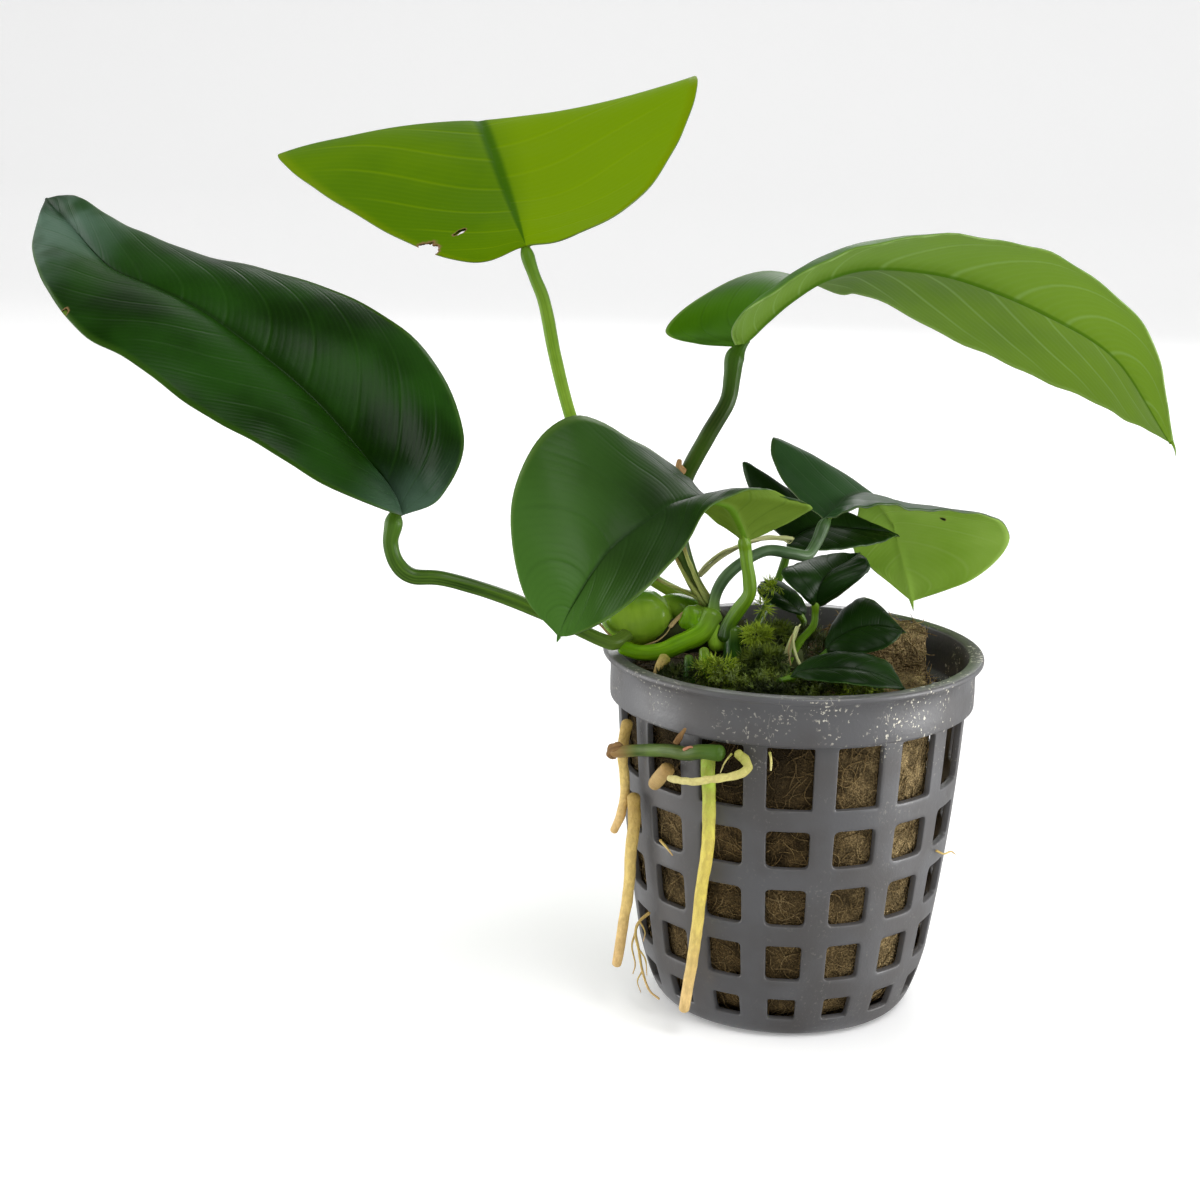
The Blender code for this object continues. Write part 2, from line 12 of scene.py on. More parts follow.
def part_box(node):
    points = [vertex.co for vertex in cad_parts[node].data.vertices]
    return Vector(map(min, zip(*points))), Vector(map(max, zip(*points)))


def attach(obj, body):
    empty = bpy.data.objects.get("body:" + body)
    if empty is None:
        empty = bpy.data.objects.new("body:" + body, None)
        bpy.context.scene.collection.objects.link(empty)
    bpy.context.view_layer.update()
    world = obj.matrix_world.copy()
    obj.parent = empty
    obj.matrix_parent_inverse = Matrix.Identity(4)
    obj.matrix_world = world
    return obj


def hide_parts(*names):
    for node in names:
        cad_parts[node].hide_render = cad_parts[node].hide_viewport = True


bl_info = {
    "name": "Potted Anubias",
    "version": (1, 0, 0),
    "blender": (4, 5, 0),
    "location": "View3D > Sidebar > Anubias",
    "description": "Builds an anubias plant in a net pot: leaves, roots, moss, rockwool and the studio",
    "category": "Add Mesh",
}

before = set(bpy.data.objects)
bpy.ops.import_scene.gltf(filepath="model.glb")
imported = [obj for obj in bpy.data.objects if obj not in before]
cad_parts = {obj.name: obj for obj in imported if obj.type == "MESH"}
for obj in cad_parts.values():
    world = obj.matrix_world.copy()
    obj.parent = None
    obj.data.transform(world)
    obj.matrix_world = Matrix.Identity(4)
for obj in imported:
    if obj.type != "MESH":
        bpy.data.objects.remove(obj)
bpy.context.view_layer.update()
MM = 0.001
BODY = "root"
WHITE = (1.0, 1.0, 1.0)
MAP_NAME = "along_across"

# The pot, in millimetres, read from the frame where the frame says it.
POT_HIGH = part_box("net_pot")[1]
POT_HEIGHT = round(POT_HIGH[2] / MM, 3)
LIP_RADIUS = round(POT_HIGH[0] / MM, 3)
COLLAR_RADIUS = 23.95
BODY_TOP_RADIUS = 23.23
BODY_LOW_RADIUS = 19.33
BODY_LOW_Z = 8.0
BODY_BULGE = 0.66
WALL = 0.9
WINDOW_COLUMNS = 16
WINDOW_PHASE = math.radians(0.8)
COLUMNS_PER_SECTOR = 2
CHAMFER = 0.14

# Guide points of the blades, in millimetres: at each station the midrib, the left margin, the right margin.
BLADES = {
    "leaf_left": (
        ((-49.5, -14, 66.7),),
        ((-51.5, -13, 70.5), (-50.7, -20, 68.7), (-44.6, -13, 69.2)),
        ((-54.8, -13, 74.5), (-56.8, -23, 71.8), (-43, -6, 75.8)),
        ((-60.5, -12, 80.2), (-64.2, -24, 76.2), (-48.4, -1, 85.8)),
        ((-67.8, -11, 85.8), (-72.5, -24, 81), (-58.2, 1, 92)),
        ((-75.3, -10, 90.8), (-80.9, -23, 86.4), (-69.7, 1, 95.7)),
        ((-81.9, -9, 93.9), (-87.9, -21, 89.6), (-78.6, 1, 97.3)),
        ((-89.1, -5, 96.1), (-94.5, -14, 94.5), (-87.5, 3, 100)),
        ((-96.2, 3, 100.1), (-99.6, -3, 97.9), (-95.3, 6, 103.5)),
        ((-99.9, 6.8, 102.3), (-100.8, 3.6, 101), (-98.1, 8, 103.9)),
        ((-101.3, 8.3, 103.4),),
    ),
    "leaf_top": (
        ((-37.1, 10, 98.7),),
        ((-38.5, 14, 100.9), (-44.4, 9, 96.3), (-30.4, 8, 100.2)),
        ((-41.1, 22, 104.3), (-55.3, 14, 99.2), (-21.6, 14, 105.9)),
        ((-44.3, 31, 109.1), (-67.9, 24, 104.4), (-17.3, 25, 114.2)),
        ((-47.8, 42, 113.2), (-76.2, 36, 108.3), (-16.5, 36, 120.5)),
        ((-51.2, 55, 111.6), (-73.2, 52, 106.6), (-23.2, 52, 113.9)),
        ((-55, 68, 108.2), (-68.6, 68, 103.3), (-37.1, 68, 108.6)),
        ((-58.7, 82, 101.4),),
    ),
    "leaf_right": (
        ((-8.7, 2, 87.1),),
        ((-7.9, 2, 87.8), (-14, 6, 86.8), (-9, -2, 88.9)),
        ((-6.7, 1, 89), (-18.3, 10, 87.9), (-8.8, -6, 90.9)),
        ((-5, 0, 91), (-14.4, 14, 91.8), (-7.6, -9, 92.9)),
        ((-2, -1, 93.8), (-5.6, 18, 95.3), (-3.8, -12, 96)),
        ((2.6, -1, 96.5), (4.1, 21, 92.6), (2.7, -14, 99.7)),
        ((9.1, -1, 98), (8.4, 22, 92), (9.2, -15, 102.2)),
        ((19.2, -1, 97.2), (21, 20, 86.3), (19.8, -15, 103.2)),
        ((30.5, -2, 92.9), (33.5, 15, 81.6), (31.6, -14, 100)),
        ((39.4, -3, 87.2), (42, 8, 78.6), (41.8, -11, 91)),
        ((46.4, -5, 77.4),),
    ),
    "leaf_centre": (
        ((-6.5, -8, 63.7),),
        ((-7.3, -10, 66.3), (-3.2, -6.5, 64.8), (-9.5, -9.5, 65.9)),
        ((-8.5, -13.5, 69.2), (1.8, -4.5, 67.6), (-11.6, -11, 67.8)),
        ((-10.1, -18, 70.7), (-1.7, -7.5, 69.6), (-13.6, -12.5, 69.7)),
        ((-12, -23, 71.9), (-6, -14, 71.5), (-13.5, -13.5, 72.2)),
        ((-14.4, -27.5, 72.3), (-10.6, -26, 71.3), (-15.6, -15.5, 74.5)),
        ((-16.6, -30.5, 71.4), (-12.8, -32.5, 68.3), (-19.5, -18, 77.3)),
        ((-21, -34, 68.3), (-16.6, -38, 64.5), (-25.7, -24, 81.6)),
        ((-23, -37, 65.9), (-21, -41.3, 61.3), (-30.5, -29, 79.8)),
        ((-24.7, -39.5, 63.1), (-23.9, -42, 59.8), (-33.1, -34.5, 72.7)),
        ((-25.9, -41, 60.9), (-25.5, -42, 59.3), (-31.1, -39.5, 63.8)),
        ((-26.6, -42, 59.1),),
    ),
    "leaf_back": (
        ((3.6, 6, 64.1),),
        ((5.3, 9, 65.5), (-0.5, 8, 66.8), (5.8, 3, 65.6)),
        ((7.2, 12, 66.3), (-3.6, 10, 71.3), (8.4, 4, 66.5)),
        ((9.4, 16, 65.9), (-3.2, 13, 73.8), (12.1, 6, 66.4)),
        ((11.5, 21, 63.7), (2.1, 17, 69.7), (17.6, 10, 64.9)),
        ((13.2, 26, 60.5), (8.2, 22, 65.1), (26.1, 18, 63.1)),
        ((14.5, 28, 56.2), (8, 27, 55.8), (29.6, 24, 58.3)),
        ((15.7, 28, 51.9), (10.8, 28, 52.7), (25.4, 27, 52)),
        ((16.7, 28, 48),),
    ),
    "leaf_dark": (
        ((-0.9, 14, 58.7),),
        ((0.4, 15, 59.9), (-4.9, 17, 62.1), (-0.9, 11, 58.8)),
        ((2.4, 16, 60.8), (-7.8, 19, 69.1), (3.6, 12, 58.4)),
        ((5.9, 18, 60.6), (-2.2, 19, 66), (8.9, 15, 58.7)),
        ((10.1, 20, 59.9), (5.8, 20, 62.9), (12, 18, 58.8)),
        ((13.9, 22, 58.9),),
    ),
    "leaf_small_upper": (
        ((2.7, -7, 55.2),),
        ((2.7, -8, 56.6), (0.7, -9.5, 57.4), (4.9, -6, 56)),
        ((3.2, -8, 58.4), (-1.8, -8, 59.7), (7.7, -7, 58.7)),
        ((4.6, -6, 59.8), (0.5, -3, 60.1), (9.4, -6, 60.4)),
        ((6.9, -3, 60.7), (4.4, -1, 61), (8.9, -5, 61.6)),
        ((8, -2, 61.3),),
    ),
    "leaf_small_inner": (
        ((1.3, -2, 52.7),),
        ((0.4, -3, 53.8), (-1, -5, 54.1), (1.3, -1, 53.8)),
        ((-1.4, -3, 55.2), (-3.9, -5, 55.7), (0.2, 0, 55.2)),
        ((-3.2, -2, 56.2), (-4.8, -4, 56.7), (-2.2, 1, 56.5)),
        ((-4.3, -1, 56.8),),
    ),
    "leaf_small_middle": (
        ((4.1, -11.5, 50.4),),
        ((5.7, -11, 52), (4.9, -8, 52.5), (7.2, -13.5, 50.9)),
        ((8.1, -11, 53.5), (6.6, -6, 54.9), (10.4, -13.5, 51.4)),
        ((10.9, -11, 54), (9.6, -6, 56.2), (12.5, -13, 52.5)),
        ((13.8, -11.5, 53.6),),
    ),
    "leaf_small_front": (
        ((-0.2, -17.5, 48.7),),
        ((2.5, -18, 49.6), (2.5, -15.5, 50.5), (2.5, -20.5, 49)),
        ((6.5, -18.5, 50.2), (7.1, -15.5, 51.6), (6.9, -21.5, 49.1)),
        ((10.4, -18, 49.5), (11.7, -15, 50.5), (10.6, -20.5, 48.6)),
        ((13.9, -18, 47.9),),
    ),
}
# Stalks and roots, in millimetres: radius at the start, radius at the end, guide points.
PATHS = {
    "petiole_left": (0.85, 1.1, ((-22.6, -9.1, 50.1), (-24.6, -10, 50.6), (-29.7, -11, 53.2),
        (-37.3, -12, 56.4), (-44.3, -13, 58.5), (-48.3, -13.4, 58.8), (-50.3, -13.5, 60.4),
        (-51.1, -13.6, 63), (-50.7, -13.8, 65.6))),
    "petiole_top": (0.95, 0.85, ((-13.3, 3, 53), (-15.7, 3.2, 53.9), (-20, 3.6, 56.5), (-24, 4.6, 61.9),
        (-27.8, 6, 69.6), (-30.7, 7.5, 76.7), (-32.9, 8.5, 84.3), (-34.4, 9, 91.1), (-35.9, 9.6, 94.7),
        (-36.9, 10.2, 97.3))),
    "petiole_right": (0.95, 1.2, ((-11.7, -3.5, 54.8), (-13.4, -3, 57.5), (-14.9, -2.5, 61.7),
        (-15.4, -2, 66.2), (-14.5, -1.5, 70.8), (-11.9, -1, 76.1), (-9.6, 0, 80.3), (-9.1, 1, 83.6),
        (-8.8, 1.7, 86))),
    "petiole_centre": (0.95, 0.75, ((-8.2, -7.5, 52.6), (-7.2, -7.5, 54.4), (-5.8, -8, 56.7),
        (-5.8, -8, 58.7), (-6.2, -8, 61), (-6.5, -8, 63))),
    "petiole_back": (0.8, 0.75, ((-10.4, -5.5, 54.4), (-10, -5, 56.4), (-8.8, -4.5, 58.4), (-6.7, -3, 60),
        (-3.8, -1, 61.1), (-0.6, 0.8, 60.4), (1.4, 2.4, 59.9), (2.6, 4.2, 61.2), (3.5, 5.6, 63.3))),
    "petiole_dark": (0.6, 0.55, ((-4.9, 1, 50.5), (-3.2, 4, 53.3), (-1.8, 9, 56.3), (-1.1, 13, 57.9))),
    "petiole_small_upper": (0.5, 0.45, ((-0.3, -8.5, 48.7), (1, -8, 51), (2.5, -7.4, 52.8),
        (2.7, -7, 54.5))),
    "petiole_small_inner": (0.5, 0.4, ((-1.3, -5, 47.5), (-0.4, -4, 49.4), (0.7, -3, 50.9),
        (1.3, -2.3, 52))),
    "petiole_small_middle": (0.45, 0.4, ((0.6, -11.3, 47.6), (2.3, -11.5, 49), (3.6, -11.6, 49.8))),
    "petiole_small_front": (0.5, 0.4, ((-2.9, -14.5, 46.2), (-1.7, -16, 47.5), (-0.7, -17, 48.2))),
    "sheath_torn": (0.3, 0.3, ((-12.4, -0.8, 57.4), (-9.9, -0.4, 59.8), (-7.3, 0, 61.3), (-3.9, 0.8, 62.4),
        (-0.6, 1.6, 62.2))),
    "sheath_pale": (0.5, 0.3, ((-1, -11, 48.6), (-0.3, -10.6, 51), (0.5, -10.2, 53.2))),
    "rhizome": (1.1, 1.5, ((-21.8, -8.8, 49.3), (-19.6, -8.9, 48.8), (-16.8, -8.6, 49), (-14, -7.8, 50.1),
        (-11.6, -7, 51.3))),
    "leaf_base_front": (1, 0.7, ((-10.8, -13.2, 45.6), (-10.9, -12.6, 48.1), (-11.2, -12, 50.2))),
    "leaf_base_left": (0.9, 0.6, ((-12.8, -13.2, 45.6), (-13, -12.6, 47.6), (-13.1, -12, 49.2))),
    "leaf_base_centre": (1.5, 1.1, ((-7.3, -8.6, 45.6), (-7.5, -8.1, 49.3), (-7.7, -7.6, 51.8))),
    "root_bud": (0.8, 0.4, ((-16.2, -11, 48.6), (-16.9, -11.8, 47.8), (-17.4, -12.3, 46.9))),
    "side_stem": (0.75, 1, ((-22.1, -14.7, 37.1), (-18, -16.7, 38.1), (-14.7, -19.3, 39),
        (-12.6, -20.8, 39.2), (-10.6, -21.9, 39.9), (-8.5, -22.8, 40.1))),
    "root_long": (0.9, 0.45, ((-9.9, -21.9, 37.4), (-9.7, -21.8, 34.9), (-9.6, -21.6, 31.2),
        (-9.7, -21, 26.5), (-10.3, -20.2, 21.5), (-10.7, -19.4, 16.6), (-11.2, -18.8, 11.7),
        (-11.8, -18.4, 6.9), (-12.2, -18.3, 4))),
    "root_left": (0.75, 0.4, ((-20.7, -12.8, 40.4), (-21.1, -12.6, 38.1), (-21.2, -12.4, 35.3),
        (-20.9, -12, 31.2), (-21.3, -12, 28), (-22.2, -12, 25.6))),
    "root_side": (0.85, 0.4, ((-19.6, -13.4, 30.7), (-19.5, -13.2, 27.3), (-19.9, -12.8, 22.8),
        (-20.1, -12.4, 18), (-20.7, -12, 13.1), (-21.2, -12, 8.9), (-21.5, -12, 7.1))),
    "root_hook": (0.6, 0.45, ((-6.2, -23.4, 40.3), (-5.3, -23.5, 39.6), (-4.9, -23.9, 38.7),
        (-6.1, -24.4, 37.9), (-8.9, -24.5, 37.3), (-11.8, -23.6, 36.5), (-14.6, -21.8, 36.2))),
    "root_stub": (1, 0.95, ((-15.1, -18.9, 36.4), (-15.9, -18, 35.2), (-16.7, -17, 33.9))),
}


# --- Shape helpers ---


def smooth_curve(points, count):
    """Points at even steps on the Catmull-Rom curve through the given points, as an array."""
    knots = np.asarray(points, float)
    knots = np.vstack([2 * knots[0] - knots[1], knots, 2 * knots[-1] - knots[-2]])
    spans = len(points) - 1
    position = np.linspace(0, spans, count)
    index = np.minimum(position.astype(int), spans - 1)
    t = (position - index)[:, None]
    a, b, c, d = (knots[index + step] for step in range(4))
    return 0.5 * (2 * b + (c - a) * t + (2 * a - 5 * b + 4 * c - d) * t ** 2
                  + (3 * b - 3 * c + d - a) * t ** 3)


def smoothstep(value):
    """The usual smooth ramp from 0 to 1."""
    value = np.clip(value, 0.0, 1.0)
    return value * value * (3 - 2 * value)


def unit(vectors):
    """Vectors scaled to length 1."""
    return vectors / np.maximum(np.linalg.norm(vectors, axis=-1, keepdims=True), 1e-12)


def length_shares(path):
    """How far along the path each of its points is, from 0 to 1."""
    lengths = np.concatenate([[0.0], np.cumsum(np.linalg.norm(np.diff(path, axis=0), axis=1))])
    return lengths / lengths[-1]


def roughness_at(points, scale, seed=0.0):
    """A smooth noise value from -1 to 1 for each point."""
    shift = Vector((seed, seed * 0.7, seed * 1.3))
    return np.array([noise.noise(Vector(point) * scale + shift) for point in points])


def ring_faces(rows, columns):
    """Quads between closed rings of points, each ring joined to the next."""
    faces = []
    for low in range(0, (rows - 1) * columns, columns):
        for column in range(columns):
            after = (column + 1) % columns
            faces.append((low + column, low + after, low + columns + after, low + columns + column))
    return faces


def end_faces(rows, columns):
    """Triangles from the first and the last ring to two further points, one at each end."""
    first, last = rows * columns, (rows - 1) * columns
    faces = []
    for column in range(columns):
        after = (column + 1) % columns
        faces += [(first, after, column), (first + 1, last + column, last + after)]
    return faces


def linked(name, data):
    """A new object in the scene."""
    item = bpy.data.objects.new(name, data)
    bpy.context.scene.collection.objects.link(item)
    return item


def removed(item):
    """Remove an object with its mesh."""
    mesh = item.data
    bpy.data.objects.remove(item)
    bpy.data.meshes.remove(mesh)


def made_item(name, made, materials=(), smooth=True):
    """A mesh object from a bmesh, which is freed."""
    mesh = bpy.data.meshes.new(name)
    made.to_mesh(mesh)
    made.free()
    for material in materials:
        mesh.materials.append(material)
    if smooth:
        mesh.shade_smooth()
    return linked(name, mesh)


def piece_from(name, vertices, faces, materials, uvs=None, face_slots=None, values=None):
    """A smooth shaded mesh object from points in millimetres. uvs holds one pair for each vertex."""
    mesh = bpy.data.meshes.new(name)
    mesh.from_pydata((np.asarray(vertices) * MM).tolist(), [], [list(map(int, face)) for face in faces])
    for material in materials:
        mesh.materials.append(material)
    if face_slots is not None:
        mesh.polygons.foreach_set("material_index", np.asarray(face_slots, np.int32))
    if uvs is not None:
        layer = mesh.uv_layers.new(name=MAP_NAME)
        loops = np.zeros(len(mesh.loops), np.int32)
        mesh.loops.foreach_get("vertex_index", loops)
        layer.data.foreach_set("uv", np.asarray(uvs, float)[loops].ravel())
    for key, numbers in (values or {}).items():
        attribute = mesh.attributes.new(key, "FLOAT", "POINT")
        attribute.data.foreach_set("value", np.asarray(numbers, float))
    mesh.shade_smooth()
    return linked(name, mesh)


def finish_piece(item, slot_name, *nodes):
    """Hang the piece on the empty of the body it rides on and hide the CAD nodes it stands for. slot_name,
    the finish, is not used.
    """
    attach(item, BODY)
    if nodes:
        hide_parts(*nodes)


def merge_items(name, items):
    """Several mesh objects joined in one, with their material slots kept."""
    joined = bmesh.new()
    materials = []
    for item in items:
        shift = []
        for material in item.data.materials:
            if material not in materials:
                materials.append(material)
            shift.append(materials.index(material))
        start = len(joined.faces)
        joined.from_mesh(item.data)
        joined.faces.ensure_lookup_table()
        for face in joined.faces[start:]:
            face.material_index = shift[face.material_index]
        removed(item)
    return made_item(name, joined, materials)


# --- Round shapes along a path ---

# A tube's domed end: turns of its rings away from the tube's side, and the height of the dome and its tip
# as shares of the radius.
DOME_TURNS = (78, 52, 26)
DOME_HEIGHT = 0.7
DOME_TIP = 0.72


def carried_frames(path):
    """Two directions across the path at each point, carried along it without twist."""
    tangents = unit(np.gradient(path, axis=0))
    side = np.cross(tangents[0], (0.3, 0.2, 1.0))
    if np.linalg.norm(side) < 0.1:
        side = np.cross(tangents[0], (1.0, 0.0, 0.0))
    side = unit(side)
    sides = [side]
    for tangent in tangents[1:]:
        side = unit(side - tangent * np.dot(side, tangent))
        sides.append(side)
    sides = np.array(sides)
    return tangents, sides, np.cross(tangents, sides)


def tube(name, path, radii, material, sides=18, section=np.ones_like, lumps=0.0, lump_scale=0.5, seed=0.0,
         flat=1.0):
    """A closed tube along path, in millimetres, with a radius for each point and domed ends.

    section gives the shape across for an angle, lumps roughens the surface, and flat squeezes the second
    direction across.
    """
    tangents, first, second = carried_frames(path)
    dome = np.radians(DOME_TURNS)
    near, far = tangents[0] * radii[0], tangents[-1] * radii[-1]
    centres = [path[0] - near * DOME_HEIGHT * math.sin(turn) for turn in dome]
    centres += [*path] + [path[-1] + far * DOME_HEIGHT * math.sin(turn) for turn in dome[::-1]]
    scales = [radii[0] * math.cos(turn) for turn in dome]
    scales += [*radii] + [radii[-1] * math.cos(turn) for turn in dome[::-1]]
    shares = [0.0] * 3 + [*length_shares(path)] + [1.0] * 3
    first, second = ([way[0]] * 3 + [*way] + [way[-1]] * 3 for way in (first, second))
    angle = np.linspace(0, 2 * math.pi, sides, endpoint=False)
    rows = []
    for centre, scale, across, up in zip(centres, scales, first, second):
        shape = section(angle) * scale
        rows.append(centre + np.outer(np.cos(angle) * shape, across)
                    + np.outer(np.sin(angle) * shape * flat, up))
    points = np.array(rows).reshape(-1, 3)
    if lumps > 0:
        middle = np.repeat(np.array(centres), sides, axis=0)
        points = middle + (points - middle) * (1 + lumps * roughness_at(points, lump_scale, seed))[:, None]
    vertices = [*points, path[0] - near * DOME_TIP, path[-1] + far * DOME_TIP]
    faces = ring_faces(len(rows), sides) + end_faces(len(rows), sides)
    fold = np.abs(angle / math.pi - 1)
    uvs = [(share, part) for share in shares for part in fold] + [(0.0, 0.5), (1.0, 0.5)]
    return piece_from(name, vertices, faces, [material], uvs)


# --- Node trees ---


class Wire:
    """A node's output. A sum of wires adds a Math node."""

    def __init__(self, build, socket):
        self.build, self.socket = build, socket

    def __add__(self, other):
        return self.build.math("ADD", self, other)

    def __sub__(self, other):
        return self.build.math("SUBTRACT", self, other)

    def __mul__(self, other):
        return self.build.math("MULTIPLY", self, other)

    def __truediv__(self, other):
        return self.build.math("DIVIDE", self, other)

    def __abs__(self):
        return self.build.math("ABSOLUTE", self)


class Builder:
    """Adds nodes to one tree and links them."""

    def __init__(self, tree):
        self.tree = tree

    def put(self, socket, value):
        """Link a socket to a wire, or give it a number."""
        if isinstance(value, Wire):
            self.tree.links.new(value.socket, socket)
        else:
            socket.default_value = value

    def node(self, kind, inputs=None, **settings):
        """Add a node with its settings and inputs: returns its outputs as wires, by name and by place."""
        made = self.tree.nodes.new(kind)
        for key, value in settings.items():
            setattr(made, key, value)
        for key, value in (inputs or {}).items():
            self.put(made.inputs[key], value)
        wires = [Wire(self, socket) for socket in made.outputs]
        return {**{wire.socket.name: wire for wire in wires}, **dict(enumerate(wires))}

    def math(self, operation, first, second=0.0):
        """The result of one Math node."""
        return self.node("ShaderNodeMath", {0: first, 1: second}, operation=operation)[0]

    def vector(self, operation, inputs):
        """The result of one Vector Math node."""
        return self.node("ShaderNodeVectorMath", inputs, operation=operation)[0]

    def split(self, vector):
        """The three parts of a vector."""
        parts = self.node("ShaderNodeSeparateXYZ", {0: vector})
        return parts[0], parts[1], parts[2]

    def joined(self, *parts):
        """A vector from its parts."""
        return self.node("ShaderNodeCombineXYZ", dict(enumerate(parts)))[0]

    def ramp(self, value, low, high, start=0.0, end=1.0):
        """value mapped smoothly from low..high to start..end."""
        return self.node("ShaderNodeMapRange", {0: value, 1: low, 2: high, 3: start, 4: end},
                         interpolation_type="SMOOTHSTEP")[0]

    def mix(self, share, first, second):
        """Two colours mixed."""
        first, second = (value if isinstance(value, Wire) else (*value, 1.0) for value in (first, second))
        return self.node("ShaderNodeMix", {0: share, 6: first, 7: second}, data_type="RGBA")[2]

    def blend(self, share, first, second):
        """Two numbers mixed."""
        return self.node("ShaderNodeMix", {0: share, 2: first, 3: second})[0]

    def noise(self, vector, scale, detail=3.0, roughness=0.5):
        """A noise value."""
        return self.node("ShaderNodeTexNoise", {"Vector": vector, "Scale": scale, "Detail": detail,
                                                "Roughness": roughness})[0]

    def group(self, name, **inputs):
        """A copy of a shared node group: returns its outputs."""
        return self.node("ShaderNodeGroup", {key.replace("_", " "): value for key, value in inputs.items()},
                         node_tree=shared(name))

    def first(self, kind, inputs, **settings):
        """The first output of a geometry node."""
        return self.node("GeometryNode" + kind, inputs, **settings)[0]

    def results(self, sort, **values):
        """Name the outputs of a node group and fill them: returns its tree."""
        for key in values:
            self.tree.interface.new_socket(key, in_out="OUTPUT", socket_type="NodeSocket" + sort)
        end = self.tree.nodes.new("NodeGroupOutput")
        for key, value in values.items():
            self.put(end.inputs[key], value)
        return self.tree


def node_group(name, kind, **inputs):
    """An empty node group with named inputs: returns its builder and the wires of its inputs."""
    tree = bpy.data.node_groups.new(name, kind + "NodeTree")
    for key, (sort, *default) in inputs.items():
        socket = tree.interface.new_socket(key.replace("_", " "), in_out="INPUT",
                                           socket_type="NodeSocket" + sort)
        if default:
            socket.default_value = default[0]
    build = Builder(tree)
    return build, build.node("NodeGroupInput")


def vein_group():
    """Masks of a blade's veins: midrib, side veins, fine parallel veins between them, and the margin.

    Phase rises by one from each side vein to the next, and Map runs along and across the blade.
    """
    build, given = node_group("blade_veins", "Shader", Map=["Vector"], Phase=["Float"],
                              Side_Width=["Float", 0.16], Fine_Count=["Float", 6.0])
    along, right, _ = build.split(given["Map"])
    across = abs(right - 0.5) * 2.0
    near = build.math("PINGPONG", given["Phase"], 0.5) * 2.0
    side = build.ramp(near / given["Side Width"], 0.0, 1.0, 1.0, 0.0)
    side = side * build.ramp(across, 0.70, 0.97, 1.0, 0.0)
    fine = build.math("PINGPONG", given["Phase"] * given["Fine Count"], 0.5) * 2.0
    width = build.ramp(along, 0.0, 1.0, 0.07, 0.03)
    return build.results(
        "Float", Midrib=build.ramp(across / width, 0.3, 1.0, 1.0, 0.0), Side=side,
        Fine=build.ramp(fine, 0.0, 0.7, 1.0, 0.0), Margin=build.ramp(across, 0.93, 1.0))


def mottle_group():
    """A soft cloudy mask with a finer one over it, for colour that drifts over a surface."""
    build, given = node_group("mottle", "Shader", Vector=["Vector"], Scale=["Float", 200.0],
                              Fine_Scale=["Float", 2500.0])
    return build.results(
        "Float", Cloud=build.ramp(build.noise(given["Vector"], given["Scale"], 3.0), 0.33, 0.67),
        Grain=build.ramp(build.noise(given["Vector"], given["Fine Scale"], 2.0), 0.3, 0.7))


def blemish_group():
    """A small ragged hole in a blade: Keep is 0 inside it, and Edge is its dried rim."""
    build, given = node_group("blemish", "Shader", Map=["Vector"], Vector=["Vector"], Centre=["Vector"],
                              Size=["Vector"])
    offset = build.vector("SUBTRACT", {0: given["Map"], 1: given["Centre"]})
    scaled = build.vector("DIVIDE", {0: offset, 1: given["Size"]})
    reach = build.node("ShaderNodeVectorMath", {0: scaled}, operation="LENGTH")["Value"]
    ragged = reach + (build.noise(given["Vector"], 1600.0, 2.0) - 0.5)
    return build.results("Float", Keep=build.ramp(ragged, 0.96, 1.0),
                         Edge=build.ramp(ragged, 1.05, 1.4, 1.0, 0.0))


def streak_group():
    """Thin streaks that run along a stalk, from its along and across map."""
    build, given = node_group("streaks", "Shader", Map=["Vector"], Vector=["Vector"], Count=["Float", 9.0],
                              Length=["Float", 1.5])
    along, across, _ = build.split(given["Map"])
    bent = build.vector("ADD", {0: build.joined(along * given["Length"], across * given["Count"]),
                                1: given["Vector"]})
    streak = build.ramp(build.noise(bent, 1.0, 3.0, 0.6), 0.35, 0.65)
    return build.results("Float", Streak=streak, Along=along)


GROUPS = {}


def shared(name):
    """One of the shared node groups, built the first time it is asked for."""
    makers = {"veins": vein_group, "mottle": mottle_group, "streaks": streak_group, "blemish": blemish_group,
              "repeat_around": repeat_around_tree, "scatter_over_surface": scatter_tree}
    if name not in GROUPS:
        GROUPS[name] = makers[name]()
    return GROUPS[name]


# --- Materials ---


class Skin(Builder):
    """A Principled material in the making, with its object coordinates, place, and its own map, along."""

    def __init__(self, name, roughness, shine=0.5):
        self.material = bpy.data.materials.new(name)
        self.material.use_nodes = True
        super().__init__(self.material.node_tree)
        self.shader = self.tree.nodes["Principled BSDF"]
        self.set(Roughness=roughness, Specular_IOR_Level=shine)
        self.place = self.node("ShaderNodeTexCoord")["Object"]
        self.along = self.node("ShaderNodeUVMap", uv_map=MAP_NAME)[0]

    def set(self, **values):
        """Fill sockets of the shader."""
        for key, value in values.items():
            self.put(self.shader.inputs[key.replace("_", " ")], value)

    def mottle(self, scale, fine):
        """The cloudy masks at two scales."""
        return self.group("mottle", Vector=self.place, Scale=scale, Fine_Scale=fine)

    def streaks(self, count, length):
        """The lengthwise streaks, so many across and so many along."""
        return self.group("streaks", Map=self.along, Vector=self.place, Count=count, Length=length)

    def finished(self, base, height=None, strength=0.0, distance=0.0001):
        """The material with its colour and a bump from height."""
        self.set(Base_Color=base)
        if height is not None:
            self.set(Normal=self.node("ShaderNodeBump", {"Strength": strength, "Distance": distance,
                                                         "Height": height})[0])
        return self.material


